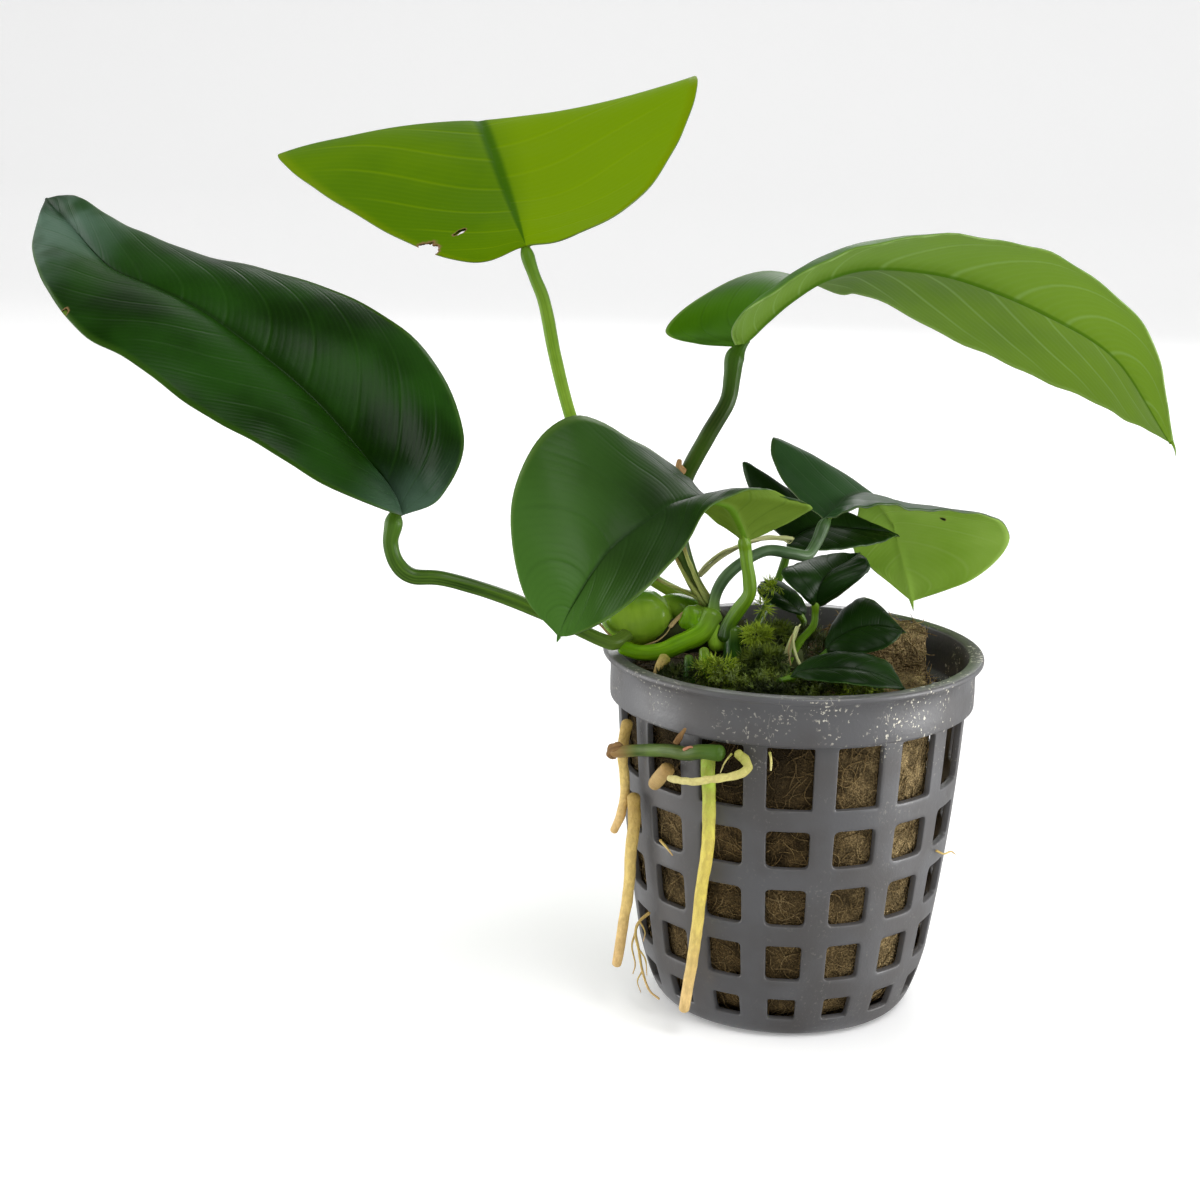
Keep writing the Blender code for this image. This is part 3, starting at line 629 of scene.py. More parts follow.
# Holes and notches in the blades: skin, then centre and half size of each along and across the blade's map.
BLADE_HOLES = {
    "yellow_green": (((0.228, -0.01), (0.016, 0.062)), ((0.22, 0.184), (0.005, 0.034))),
    "top_glossy": (((0.64, -0.01), (0.005, 0.04)),),
    "under_pale": (((0.648, 0.745), (0.009, 0.01)),),
}
DRIED = (0.2, 0.12, 0.05)
# Painted sheen on a skin, a pale bluish highlight near the tip and the base: its colour, how much of it,
# and where it fades in towards the tip.
PAINTED_SHEENS = {"top_glossy": ((0.085, 0.15, 0.105), 0.85, 0.66, 0.8)}
STALK_SHINE = 0.22


def cut_holes(name, skin, base):
    """Cut a skin's holes, each with a dried brown edge: returns the colour with the edges added."""
    keep = 1.0
    for centre, size in BLADE_HOLES.get(name, ()):
        hole = skin.group("blemish", Map=skin.along, Vector=skin.place, Centre=(*centre, 0.0),
                          Size=(*size, 1.0))
        base = skin.mix(hole["Edge"], base, DRIED)
        keep = skin.math("MULTIPLY", keep, hole["Keep"])
    skin.set(Alpha=keep)
    return base


def blade_material(name, deep, light, vein, margin, roughness, vein_share, shine, half, tip, rib):
    """A blade's skin: cloudy green, veins in their own tone, a thin pale margin, fine relief."""
    skin = Skin(f"blade_{name}", roughness, shine)
    phase = skin.node("ShaderNodeAttribute", attribute_name="vein_phase")["Fac"]
    veins = skin.group("veins", Map=skin.along, Phase=phase)
    clouds = skin.mottle(75.0, 1400.0)
    base = skin.mix(clouds["Cloud"], deep, light)
    along, across, _ = skin.split(skin.along)
    # Painted light: a lighter far half for light on it and through it, a lighter tip for painted sheen.
    if half is not None:
        base = skin.mix(skin.ramp(across, 0.44, 0.60, 0.0, 0.85), base, half)
    if tip is not None:
        base = skin.mix(skin.ramp(along, 0.5, 0.95, 0.0, 0.75), base, tip)
    # Painted sheen: a pale bluish highlight in patches towards the tip and the base.
    if name in PAINTED_SHEENS:
        sheen_colour, most, first, full = PAINTED_SHEENS[name]
        ends = skin.math("MAXIMUM", skin.ramp(along, first, full), skin.ramp(along, 0.20, 0.06, 0.0, 0.7))
        patches = skin.ramp(skin.noise(skin.place, 95.0, 3.0), 0.38, 0.62, 0.15, most)
        base = skin.mix(ends * patches, base, sheen_colour)
    for mask, share, tone in (("Fine", 0.06, vein), ("Side", vein_share, vein), ("Midrib", 0.75, rib),
                              ("Margin", 0.5, margin)):
        base = skin.mix(veins[mask] * share, base, tone)
    base = cut_holes(name, skin, base)
    skin.set(Roughness=skin.ramp(clouds["Cloud"], 0.0, 1.0, roughness - 0.04, roughness + 0.08))
    return skin.finished(base, clouds["Grain"] * 0.12 - veins["Side"] - veins["Fine"] * 0.3, 0.3)


def margin_material(name):
    """The thin rim of the blades with one skin, a little paler than their faces."""
    skin = Skin(f"margin_{name}", 0.45)
    deep, light = RIMS.get(name, RIMS["plain"])
    return skin.finished(cut_holes(name, skin, skin.mix(skin.mottle(300.0, 2500.0)["Cloud"], deep, light)))


def stalk_material(name, deep, light, streak, roughness=0.35, ends=None, streaking=0.55):
    """A stalk's skin: green with thin lengthwise streaks, and another colour towards its ends."""
    skin = Skin(name, roughness, STALK_SHINE)
    streaks = skin.streaks(7.0, 1.2)
    base = skin.mix(skin.mottle(160.0, 3000.0)["Cloud"], deep, light)
    base = skin.mix(streaks["Streak"] * streaking, base, streak)
    if ends is not None:
        base = skin.mix(skin.ramp(streaks["Along"], 0.25, 0.0, 0.0, 0.9), base, ends[0])
        base = skin.mix(skin.ramp(streaks["Along"], 0.72, 1.0, 0.0, 0.9), base, ends[1])
    return skin.finished(base, streaks["Streak"], 0.55 * streaking)


def root_material(name, start, middle, end, spots):
    """A root's skin: its colour drifts from one end to the other, with fine pits and darker rings."""
    skin = Skin(name, 0.55)
    streaks, clouds = skin.streaks(4.0, 26.0), skin.mottle(420.0, 4200.0)
    base = skin.mix(skin.ramp(streaks["Along"], 0.0, 0.4), start, middle)
    base = skin.mix(skin.ramp(streaks["Along"], 0.45, 1.0), base, end)
    base = skin.mix(streaks["Streak"] * 0.3, base, spots)
    base = skin.mix(clouds["Cloud"] * 0.22, base, spots)
    return skin.finished(base, clouds["Grain"] * 0.4 + streaks["Streak"], 0.5, 0.00018)


def rockwool_material(name, dark, middle, light, dried):
    """Matted brown wool: patches of tan and dark brown, painted shade on the upper wool to the left under
    the crown, and dry towards the sides.
    """
    skin = Skin(name, 0.95, 0.15)
    clouds, broad = skin.mottle(480.0, 4200.0), skin.mottle(90.0, 1800.0)
    base = skin.mix(clouds["Cloud"], dark, middle)
    base = skin.mix(broad["Cloud"] * 0.55, base, light)
    x, _, z = skin.split(skin.place)
    dry = skin.math("MAXIMUM", skin.ramp(x, 0.004, 0.015), skin.ramp(x, -0.010, -0.017, 0.0, 0.35))
    base = skin.mix(dry * skin.ramp(clouds["Cloud"], 0.0, 1.0, 0.35, 1.0), base, dried)
    # Painted shade: the upper wool on the left, under the crown, darkened towards a third of the dark wool.
    shaded = skin.ramp(z, 0.026, 0.038) * skin.ramp(x, 0.008, -0.001, 0.0, 0.8)
    base = skin.mix(shaded, base, [0.3 * value for value in dark])
    base = skin.mix(clouds["Grain"] * 0.7, base, dark)
    return skin.finished(base, clouds["Grain"] + broad["Grain"], 0.9, 0.0004)


def moss_material(name, deep, light):
    """Moss: shoots that go from dark to bright, patch by patch."""
    skin = Skin(name, 0.6)
    clouds = skin.mottle(420.0, 2600.0)
    return skin.finished(skin.mix(clouds["Grain"] * 0.4, skin.mix(clouds["Cloud"], deep, light), light))


def plastic_material(name, plain, worn, lime):
    """Moulded grey plastic: soft mottling, and white lime in specks and hairlines, most on the collar."""
    skin = Skin(name, 0.42, 0.6)
    clouds = skin.mottle(110.0, 2200.0)
    base = skin.mix(clouds["Cloud"], plain, worn)
    x, _, z = skin.split(skin.place)
    patch = skin.ramp(skin.noise(skin.place, 150.0, 3.0, 0.7), 0.46, 0.60)
    specks = skin.ramp(skin.noise(skin.place, 2300.0, 2.0), 0.62, 0.66)
    bent = skin.vector("MULTIPLY", {0: skin.place, 1: (1.0, 1.0, 0.35)})
    hairs = skin.ramp(abs(skin.noise(bent, 900.0, 2.0) - 0.5), 0.0, 0.012, 1.0, 0.0)
    hairs = hairs * skin.ramp(skin.noise(skin.place, 480.0, 2.0), 0.58, 0.64)
    mask = skin.math("MAXIMUM", specks, hairs) * patch
    mask = mask * skin.ramp(z, 0.034, 0.044, 0.10, 1.0) * skin.ramp(x, -0.008, 0.016, 0.35, 1.0)
    skin.set(Roughness=skin.ramp(clouds["Cloud"], 0.0, 1.0, 0.34, 0.5))
    return skin.finished(skin.mix(mask, base, lime), clouds["Grain"] * 0.35 + mask, 0.25)


# --- Geometry node trees ---


def repeat_around_tree():
    """Repeats its own shape evenly about the upright axis and welds the copies into one skin."""
    build, given = node_group("repeat_around", "Geometry", Geometry=["Geometry"], Count=["Int", 8],
                              Weld_Distance=["Float", 0.00002], Material=["Material"])
    places = build.first("MeshLine", {"Count": given["Count"], "Offset": (0.0, 0.0, 0.0)})
    whole = build.first("GeometryToInstance", {0: given["Geometry"]})
    share = build.first("InputIndex", {}) / given["Count"]
    turn = build.joined(0.0, 0.0, share * (2 * math.pi))
    copies = build.first("InstanceOnPoints", {"Points": places, "Instance": whole, "Rotation": turn})
    real = build.first("RealizeInstances", {0: copies})
    welded = build.first("MergeByDistance", {"Geometry": real, "Distance": given["Weld Distance"]})
    coated = build.first("SetMaterial", {"Geometry": welded, "Material": given["Material"]})
    return build.results("Geometry", Geometry=coated)


def scatter_tree():
    """Scatters small shapes over its own surface, each leaning and spun at random."""
    build, given = node_group(
        "scatter_over_surface", "Geometry", Geometry=["Geometry"], Shapes=["Collection"],
        Density=["Float", 1000.0], Smallest=["Float", 0.7], Largest=["Float", 1.2], Lean=["Float", 0.5],
        Lift=["Float", 0.0], Seed=["Int", 1], Material=["Material"])
    spread = build.node("GeometryNodeDistributePointsOnFaces", {
        "Mesh": given["Geometry"], "Density": given["Density"], "Seed": given["Seed"]})
    shapes = build.first("CollectionInfo", {
        "Collection": given["Shapes"], "Separate Children": True, "Reset Children": True})
    back = given["Lean"] * -1.0
    lean = build.node("FunctionNodeRandomValue", {
        0: build.joined(back, back, -math.pi), 1: build.joined(given["Lean"], given["Lean"], math.pi),
        "Seed": given["Seed"]}, data_type="FLOAT_VECTOR")[0]
    turned = build.node("FunctionNodeRotateRotation", {0: spread["Rotation"], 1: lean},
                        rotation_space="LOCAL")[0]
    size = build.node("FunctionNodeRandomValue", {2: given["Smallest"], 3: given["Largest"],
                                                  "Seed": given["Seed"] + 7.0}, data_type="FLOAT")[1]
    raised = build.vector("SCALE", {0: spread["Normal"], "Scale": given["Lift"]})
    moved = build.first("SetPosition", {"Geometry": spread["Points"], "Offset": raised})
    copies = build.first("InstanceOnPoints", {
        "Points": moved, "Instance": shapes, "Pick Instance": True, "Rotation": turned, "Scale": size})
    real = build.first("RealizeInstances", {0: copies})
    coated = build.first("SetMaterial", {"Geometry": real, "Material": given["Material"]})
    return build.results("Geometry", Geometry=coated)


def geometry_result(item, tree_name, name, **values):
    """The plain mesh object that a geometry node tree makes of item, which is removed."""
    modifier = item.modifiers.new(tree_name, "NODES")
    modifier.node_group = shared(tree_name)
    for socket in modifier.node_group.interface.items_tree:
        key = socket.name.replace(" ", "_").lower()
        if socket.in_out == "INPUT" and key in values:
            modifier[socket.identifier] = values[key]
    bpy.context.view_layer.update()
    evaluated = item.evaluated_get(bpy.context.evaluated_depsgraph_get())
    mesh = bpy.data.meshes.new_from_object(evaluated)
    if not mesh.polygons:
        raise RuntimeError(f"{name}: the geometry nodes made no faces")
    mesh.name = name
    item.modifiers.remove(modifier)
    removed(item)
    return linked(name, mesh)


def scattered(item, name, shapes, material, **values):
    """Copies of the small shapes over item's surface. The shapes and item are removed."""
    collection = bpy.data.collections.new(name + "_shapes")
    for shape in shapes:
        bpy.context.scene.collection.objects.unlink(shape)
        collection.objects.link(shape)
    result = geometry_result(item, "scatter_over_surface", name, shapes=collection, material=material,
                             **values)
    for shape in shapes:
        removed(shape)
    bpy.data.collections.remove(collection)
    return result


# --- Blades ---

# Each blade: rows along, columns in each half, number of side veins, how far they lean towards the tip,
# size of the margin's ripple in millimetres, length of the fine point at the tip, skin above, skin below.
BLADE_MAKES = {
    "leaf_left": (130, 26, 11, 0.3, 0.14, 0.6, "top_glossy", "under_dull"),
    "leaf_top": (120, 26, 10, 0.22, 0.18, 1.6, "yellow_green", "yellow_green"),
    "leaf_right": (140, 26, 12, 0.24, 0.24, 2.2, "top_fresh", "under_fresh"),
    "leaf_centre": (120, 24, 9, 0.28, 0.2, 0.8, "top_deep", "under_dull"),
    "leaf_back": (110, 22, 9, 0.25, 0.3, 1.6, "top_shade", "under_pale"),
    "leaf_dark": (70, 14, 7, 0.3, 0.15, 0.8, "top_small", "under_dull"),
    "leaf_small_upper": (52, 12, 6, 0.3, 0.1, 0.5, "top_small", "under_dull"),
    "leaf_small_inner": (40, 10, 5, 0.3, 0.06, 0.4, "top_small", "under_dull"),
    "leaf_small_middle": (52, 12, 6, 0.3, 0.1, 0.5, "top_small", "under_dull"),
    "leaf_small_front": (52, 12, 6, 0.3, 0.1, 0.5, "top_small", "under_dull"),
}
FRESH_BLADES = ("leaf_top", "leaf_right")
BLADE_THICKNESS = 0.46
MARGIN_THICKNESS = 0.20
BLADE_CAMBER = 0.10
# How far the left and the right half of a blade belly upwards, where they differ from the camber above.
BLADE_CAMBERS = {
    "leaf_top": (0.046, -0.034),
    "leaf_right": (0.03, 0.1),
    "leaf_centre": (0.03, 0.03),
    "leaf_back": (0.03, 0.03),
    "leaf_dark": (0.02, 0.02),
}
RIB_HEIGHT = 0.42
RIB_WIDTH = 0.55
GROOVE_DEPTH = 0.13
SIDE_VEIN_RELIEF = 0.05
QUILTING = 0.05
END_CROWDING = 0.72
# The fine point at the tip: its rings, its radius, how flat it is and how far it bows down.
POINT_RINGS = 6
POINT_RADIUS = 0.34
POINT_FLATNESS = 0.62
POINT_BOW = 0.35


def blade_lines(name, shares):
    """Midrib, left margin and right margin of a blade at the given shares of its length."""
    stations = [station if len(station) == 3 else station * 3 for station in BLADES[name]]
    fine = 40 * (len(stations) - 1) + 1
    position = np.linspace(0, 1, fine)
    curves = [smooth_curve([station[side] for station in stations], fine) for side in range(3)]
    return [np.stack([np.interp(shares, position, curve[:, axis]) for axis in range(3)], axis=1)
            for curve in curves]


def vein_phase(along, arc, across, count, lean, seed):
    """Rises by one from each side vein to the next. across runs from -1, the left margin, to 1, the right."""
    distance = np.abs(across)
    place = 0.55 * along + 0.45 * arc
    phase = count * (place - lean * distance ** 1.35 * (1 - 0.35 * place))
    drift = np.sin(5.1 * place + seed) * 0.28 + np.sin(13.7 * place + 2.3 * seed) * 0.12
    bend = np.sin(9.0 * place + 4.0 * distance + seed) * 0.14 * distance
    return phase + drift + bend + np.where(across < 0, 0.45, 0.0)


def blade_sheet(name, rows, half, count, lean, ripple, seed):
    """Middle surface of a blade with its normals, maps and masks, on a grid of rows and columns."""
    even = np.linspace(0, 1, rows + 2)[1:-1]
    shares = even - END_CROWDING * np.sin(2 * math.pi * even) / (2 * math.pi)
    midrib, left, right = blade_lines(name, shares)
    steps = (np.arange(1, half + 1) / half) ** 1.3
    across = np.concatenate([-steps[::-1], [0.0], steps])
    distance = np.abs(across)
    lift = unit(np.cross(unit(np.gradient(midrib, axis=0)), left - right))
    margin = np.where((across < 0)[None, :, None], left[:, None], right[:, None])
    offset = margin - midrib[:, None]
    width = np.linalg.norm(offset, axis=2, keepdims=True)
    cambers = BLADE_CAMBERS.get(name, (BLADE_CAMBER, BLADE_CAMBER))
    belly = (np.where(across < 0, cambers[0], cambers[1]) * 4 * distance * (1 - distance))[None, :, None]
    points = midrib[:, None] + offset * distance[None, :, None] + lift[:, None] * width * belly

    along_grid = np.repeat(shares[:, None], len(across), axis=1)
    arc_grid = np.repeat(length_shares(midrib)[:, None], len(across), axis=1)
    across_grid = np.repeat(across[None, :], rows, axis=0)
    phase = vein_phase(along_grid, arc_grid, across_grid, count, lean, seed)

    # Ends stay calm, so that the blade keeps its base and its tip.
    calm = smoothstep(shares / 0.12) * smoothstep((1 - shares) / 0.10)
    broad = roughness_at(points.reshape(-1, 3), 0.075, seed * 3.1).reshape(rows, -1)
    wave = np.sin(2 * math.pi * (arc_grid * 5.3 + np.where(across_grid < 0, 0.3, 0.0)) + seed)
    wave = wave * 0.6 + 0.4 * np.sin(2 * math.pi * arc_grid * 11.7 + 2 * seed)
    sway = 0.5 * broad + ripple * wave * distance[None, :] ** 3
    points = points + lift[:, None] * (sway * calm[:, None])[:, :, None]
    normals = unit(np.cross(np.gradient(points, axis=1), np.gradient(points, axis=0)))
    normals = np.where((normals * lift[:, None]).sum(axis=2, keepdims=True) < 0, -normals, normals)
    return points, normals, along_grid, across_grid, phase, width[:, :, 0] * distance[None, :], calm


def blade_mesh(name, materials, seed):
    """A whole blade: top face, underside with its raised rib and veins, thin margin, fine tip."""
    rows, half, count, lean, ripple, point_length = BLADE_MAKES[name][:6]
    points, normals, along, across, phase, reach, calm = blade_sheet(
        name, rows, half, count, lean, ripple, seed)
    columns = points.shape[1]
    distance = np.abs(across)
    thin = MARGIN_THICKNESS + (BLADE_THICKNESS - MARGIN_THICKNESS) * (1 - distance ** 4)
    slim = 1 - 0.62 * along
    rib = np.exp(-(reach / (RIB_WIDTH * (0.45 + 0.75 * slim))) ** 2)
    near = np.abs(phase - np.round(phase))
    cell = np.exp(-(near / 0.085) ** 2) * smoothstep(reach / 0.9) * smoothstep((1 - distance) / 0.22)
    cell = cell * calm[:, None]
    quilt = 0.5 - np.cos(2 * math.pi * phase) * 0.5
    quilt = quilt * smoothstep(reach / 1.5) * smoothstep((1 - distance) / 0.3) * calm[:, None]
    top = thin / 2 - GROOVE_DEPTH * rib * slim + QUILTING * quilt - SIDE_VEIN_RELIEF * 0.5 * cell
    beneath = thin / 2 + RIB_HEIGHT * rib * slim - QUILTING * quilt + SIDE_VEIN_RELIEF * cell

    # Rings run over the top from left to right and back beneath.
    rings = np.concatenate([points + normals * top[:, :, None],
                            (points - normals * beneath[:, :, None])[:, ::-1]], axis=1)
    along, across, phase = (np.concatenate([grid, grid[:, ::-1]], axis=1) for grid in (along, across, phase))

    # The fine point: small rings ahead of the tip that narrow and bow a little.
    base, tip = blade_lines(name, np.array([0.0, 1.0]))[0]
    heading = unit(tip - points[-4, half])
    side = unit(points[-1, -1] - points[-1, 0])
    up = unit(np.cross(side, heading))
    fold = np.linspace(math.pi, 0, columns)
    angle = np.concatenate([fold, -fold[::-1]])
    extra = []
    for step in np.linspace(0.0, 1.0, POINT_RINGS + 1)[:-1]:
        radius = POINT_RADIUS * (1 - step) ** 0.8
        centre = tip + heading * (step - 0.18) * point_length - up * POINT_BOW * point_length * step ** 2
        extra.append(centre + np.outer(np.cos(angle), side) * radius
                     + np.outer(np.sin(angle), up) * radius * POINT_FLATNESS)
    rings = np.concatenate([rings, np.array(extra)])
    along = np.concatenate([along, np.ones((POINT_RINGS, 2 * columns))])
    across = np.concatenate([across, np.repeat(across[:1], POINT_RINGS, axis=0) * 0.5])
    phase = np.concatenate([phase, np.repeat(phase[-1:], POINT_RINGS, axis=0)])

    around = 2 * columns
    vertices = [*rings.reshape(-1, 3), base,
                tip + heading * 0.86 * point_length - up * POINT_BOW * point_length]
    faces = ring_faces(len(rings), around) + end_faces(len(rings), around)
    above = [int(column >= columns) for column in range(around)]
    edged = [2 if column in (columns - 1, around - 1) else above[column] for column in range(around)]
    slots = edged * (len(rings) - 1) + [slot for face in above for slot in (face, 2)]
    uvs = np.vstack([np.stack([along.ravel(), 0.5 + across.ravel() / 2], axis=1), [[0.0, 0.5], [1.0, 0.5]]])
    return piece_from(name, vertices, faces, materials, uvs, slots,
                      {"vein_phase": np.concatenate([phase.ravel(), [0.0, count]])})


# --- Net pot ---

# Windows, bottom row first: lower height, upper height, half width, corner radius.
WINDOW_ROWS = (
    (2.9, 6.1, 1.8, 0.35),
    (8.9, 13.9, 2.3, 0.5),
    (16.7, 21.9, 2.6, 0.75),
    (24.8, 29.9, 2.8, 0.75),
    (32.7, 41, 3, 0.3),
)
CELL_LEVELS = (1.9, 7.5, 15.3, 23.35, 31.3, 41.32)
FOOT_SLOT_SPAN = (6.5, 12.5)
FOOT_SLOT_HALF_WIDTH = 1.1
FOOT_CELL_RADII = (5.4, 13.6)
FOOT_INNER_RADIUS = 2.7
WALL_FOOT_CURVE = ((14.5, 0), (15.6, 0.12), (16.5, 0.6), (17.2, 1.5), (17.75, 2.7), (18.35, 4.4),
                   (18.88, 6.2))
INNER_HEEL_CURVE = ((16.85, 2.05), (16.2, 1.45), (15.3, 1.05), (14.4, WALL))
# Samples along each side of a window's cell, crowded towards the corners.
SIDE_SAMPLES = (-1, -0.93, -0.83, -0.68, -0.35, 0, 0.35, 0.68, 0.83, 0.93, 1)


def body_radius(height):
    """Outer radius of the pot's body: a straight taper from the lip's level down, with a slight bulge."""
    share = (POT_HEIGHT - height) / (POT_HEIGHT - BODY_LOW_Z)
    taper = BODY_TOP_RADIUS + (BODY_LOW_RADIUS - BODY_TOP_RADIUS) * share
    return taper + BODY_BULGE * 4 * share * (1 - share)


def wall_profile():
    """Outer profile of the pot's wall as dense heights and radii, foot curve included."""
    body = [(body_radius(height), height) for height in np.arange(BODY_LOW_Z, 42.0, 1.0)]
    dense = smooth_curve([(radius, height, 0.0) for radius, height in [*WALL_FOOT_CURVE, *body]], 400)
    return dense[:, 1], dense[:, 0]


PROFILE_HEIGHTS, PROFILE_RADII = wall_profile()


def wall_radius(height):
    """Outer radius of the pot's wall, foot curve included."""
    return float(np.interp(height, PROFILE_HEIGHTS, PROFILE_RADII))


def wall_point(angle, height, depth):
    """A point of the wall, depth millimetres inside its outer face."""
    lean = math.atan2(wall_radius(height + 0.2) - wall_radius(height - 0.2), 0.4)
    inner_radius = wall_radius(height) - depth * math.cos(lean)
    return (inner_radius * math.cos(angle), inner_radius * math.sin(angle), height + depth * math.sin(lean))


def foot_point(angle, radius, depth):
    """A point of the flat foot, depth millimetres above its underside."""
    return (radius * math.cos(angle), radius * math.sin(angle), depth)


def rounded(a, b, half_width, half_height, corner):
    """The point of a rounded rectangle that the square's edge point (a, b) goes to."""
    x, y = a * half_width, b * half_height
    over = (abs(x) - (half_width - corner), abs(y) - (half_height - corner))
    if min(over) <= 0:
        return x, y
    length = math.hypot(*over)
    return (math.copysign(half_width - corner + over[0] / length * corner, x),
            math.copysign(half_height - corner + over[1] / length * corner, y))


def square_edge():
    """Points round a square of half size 1, counter-clockwise, with the side samples."""
    samples = SIDE_SAMPLES[:-1]
    return ([(a, -1.0) for a in samples] + [(1.0, b) for b in samples]
            + [(-a, 1.0) for a in samples] + [(-1.0, -b) for b in samples])


def add_rings(made, rings):
    """Add closed rings of points, in millimetres, with faces that join each to the next."""
    verts = [made.verts.new(Vector(point) * MM) for ring in rings for point in ring]
    for face in ring_faces(len(rings), len(rings[0])):
        made.faces.new([verts[index] for index in face])
    return verts


def add_holed_cell(sector, place, border, outline):
    """One cell of the wall with its hole: outer face, chamfered edge, wall of the hole, inner face.

    border gives the cell's edge and outline the hole's edge, grown by some millimetres, both as
    (angle, height or radius) for a point (a, b) of the unit square's edge.
    """
    edge = square_edge()
    outer = np.array([border(a, b) for a, b in edge])
    hole = [np.array([outline(a, b, grow) for a, b in edge]) for grow in (0.55, CHAMFER, CHAMFER * 0.3, 0.0)]
    flat = [(outer, 0.0), ((outer + hole[0]) / 2, 0.0), (hole[0], 0.0), (hole[1], 0.0),
            (hole[2], CHAMFER * 0.3), (hole[3], CHAMFER)]
    inside = [(ring, WALL - depth) for ring, depth in reversed(flat)]
    add_rings(sector, [[place(angle, level, depth) for angle, level in ring]
                       for ring, depth in flat + inside])


def add_strip(sector, angles, stations):
    """A turned strip through (radius, height) stations over the given angles."""
    rows = [[sector.verts.new(Vector(foot_point(angle, radius, height)) * MM) for angle in angles]
            for radius, height in stations]
    for low, high in zip(rows, rows[1:]):
        for index in range(len(angles) - 1):
            sector.faces.new((low[index], low[index + 1], high[index + 1], high[index]))


def collar_stations():
    """Section of the collar and lip: from the wall's top outside, over the lip, down to its top inside."""
    top, outer, inner = CELL_LEVELS[-1], body_radius(CELL_LEVELS[-1]), COLLAR_RADIUS - WALL
    outside = ((-0.45, 0.17), (-0.12, 0.2), (-0.03, 0.27), (0, 0.45), (0.02, 2), (-0.01, 3.6), (0.06, 4.9),
               (0.24, 5.6))
    inside = ((-0.02, 45), (-0.05, 42.6), (-0.15, 42.2))
    return [
        (outer, top), (outer + 0.06, top + 0.10), *((COLLAR_RADIUS + out, top + up) for out, up in outside),
        (LIP_RADIUS - 0.5, top + 5.9),
        *((LIP_RADIUS - 0.28 + 0.28 * math.cos(turn), POT_HEIGHT - 0.42 + 0.42 * math.sin(turn))
          for turn in np.radians((-60, -30, 0, 25, 50, 75, 90))),
        (LIP_RADIUS - 0.9, POT_HEIGHT), (inner + 0.3, POT_HEIGHT), (inner + 0.08, POT_HEIGHT - 0.08),
        (inner, POT_HEIGHT - 0.3), *((inner + out, height) for out, height in inside),
        (outer - WALL + 0.15, 41.75), (outer - WALL + 0.03, 41.55), (outer - WALL, top),
    ]


def pot_sector():
    """An eighth of the pot: two columns of windows with one slot of the foot, open at its two sides."""
    sector = bmesh.new()
    half_pitch = math.pi / WINDOW_COLUMNS
    samples = np.array(SIDE_SAMPLES)
    inner, outer = FOOT_CELL_RADII
    foot_radii = (inner + outer) / 2 + samples * (outer - inner) / 2
    foot_low, foot_high = foot_radii[[0, -1]]
    slot_inner, slot_outer = FOOT_SLOT_SPAN
    start = CELL_LEVELS[0]
    heel = [(radius, height) for height, radius in zip(PROFILE_HEIGHTS, PROFILE_RADII) if height < start]
    heel = heel[int(np.argmin([height for _, height in heel]))::4]
    wall_start = wall_point(0.0, start, WALL)
    for column in range(COLUMNS_PER_SECTOR):
        middle = WINDOW_PHASE + 2 * half_pitch * column
        angles = middle + samples * half_pitch
        for row, (low, high, half_width, corner) in enumerate(WINDOW_ROWS):
            bottom, top = CELL_LEVELS[row], CELL_LEVELS[row + 1]
            centre = (low + high) / 2
            radius = wall_radius(centre)

            def border(a, b):
                return middle + a * half_pitch, (bottom + top) / 2 + b * (top - bottom) / 2

            def outline(a, b, grow):
                x, y = rounded(a, b, half_width + grow, (high - low) / 2 + grow, corner + grow)
                return middle + x / radius, centre + y

            add_holed_cell(sector, wall_point, border, outline)

        if column == 0:

            def foot_border(a, b):
                return middle + a * half_pitch, (inner + outer) / 2 + b * (outer - inner) / 2

            def foot_outline(a, b, grow):
                x, y = rounded(a, b, FOOT_SLOT_HALF_WIDTH + grow, (slot_outer - slot_inner) / 2 + grow,
                               0.3 + grow)
                out = (slot_outer + slot_inner) / 2 + y
                return middle + math.atan2(x, out), math.hypot(x, out)

            add_holed_cell(sector, foot_point, foot_border, foot_outline)
        else:
            for level in (0.0, WALL):
                add_strip(sector, angles, [(radius, level) for radius in foot_radii])
        add_strip(sector, angles, [(foot_high, 0.0), (14.1, 0.0), *heel, (wall_radius(start), start)])
        add_strip(sector, angles, [(wall_start[0], wall_start[2]), *INNER_HEEL_CURVE, (foot_high, WALL)])
        for level in (0.0, WALL):
            add_strip(sector, angles, [(0.0, level), (FOOT_INNER_RADIUS, level), (foot_low, level)])
        add_strip(sector, angles, collar_stations())
    bmesh.ops.remove_doubles(sector, verts=sector.verts, dist=0.00002)
    return made_item("net_pot_wall", sector)


# --- Rockwool ---

PLUG_SIDES = 220
PLUG_RINGS = 120
PLUG_CLEARANCE = 1.25
PLUG_TOP = 44.5
PLUG_FLAT_X = 17.6
WRAP_CUTS = (22, 64, 24)
WRAP_LOW = PLUG_TOP - 1.5
WRAP_TOP = 49.6
WRAP_RADII = (9.0, 20.6)
WRAP_SPAN = (math.radians(13.0), math.radians(65.0))
FIBRE_TAN = (0.46, 0.34, 0.17)
THREAD_SIDES = 3


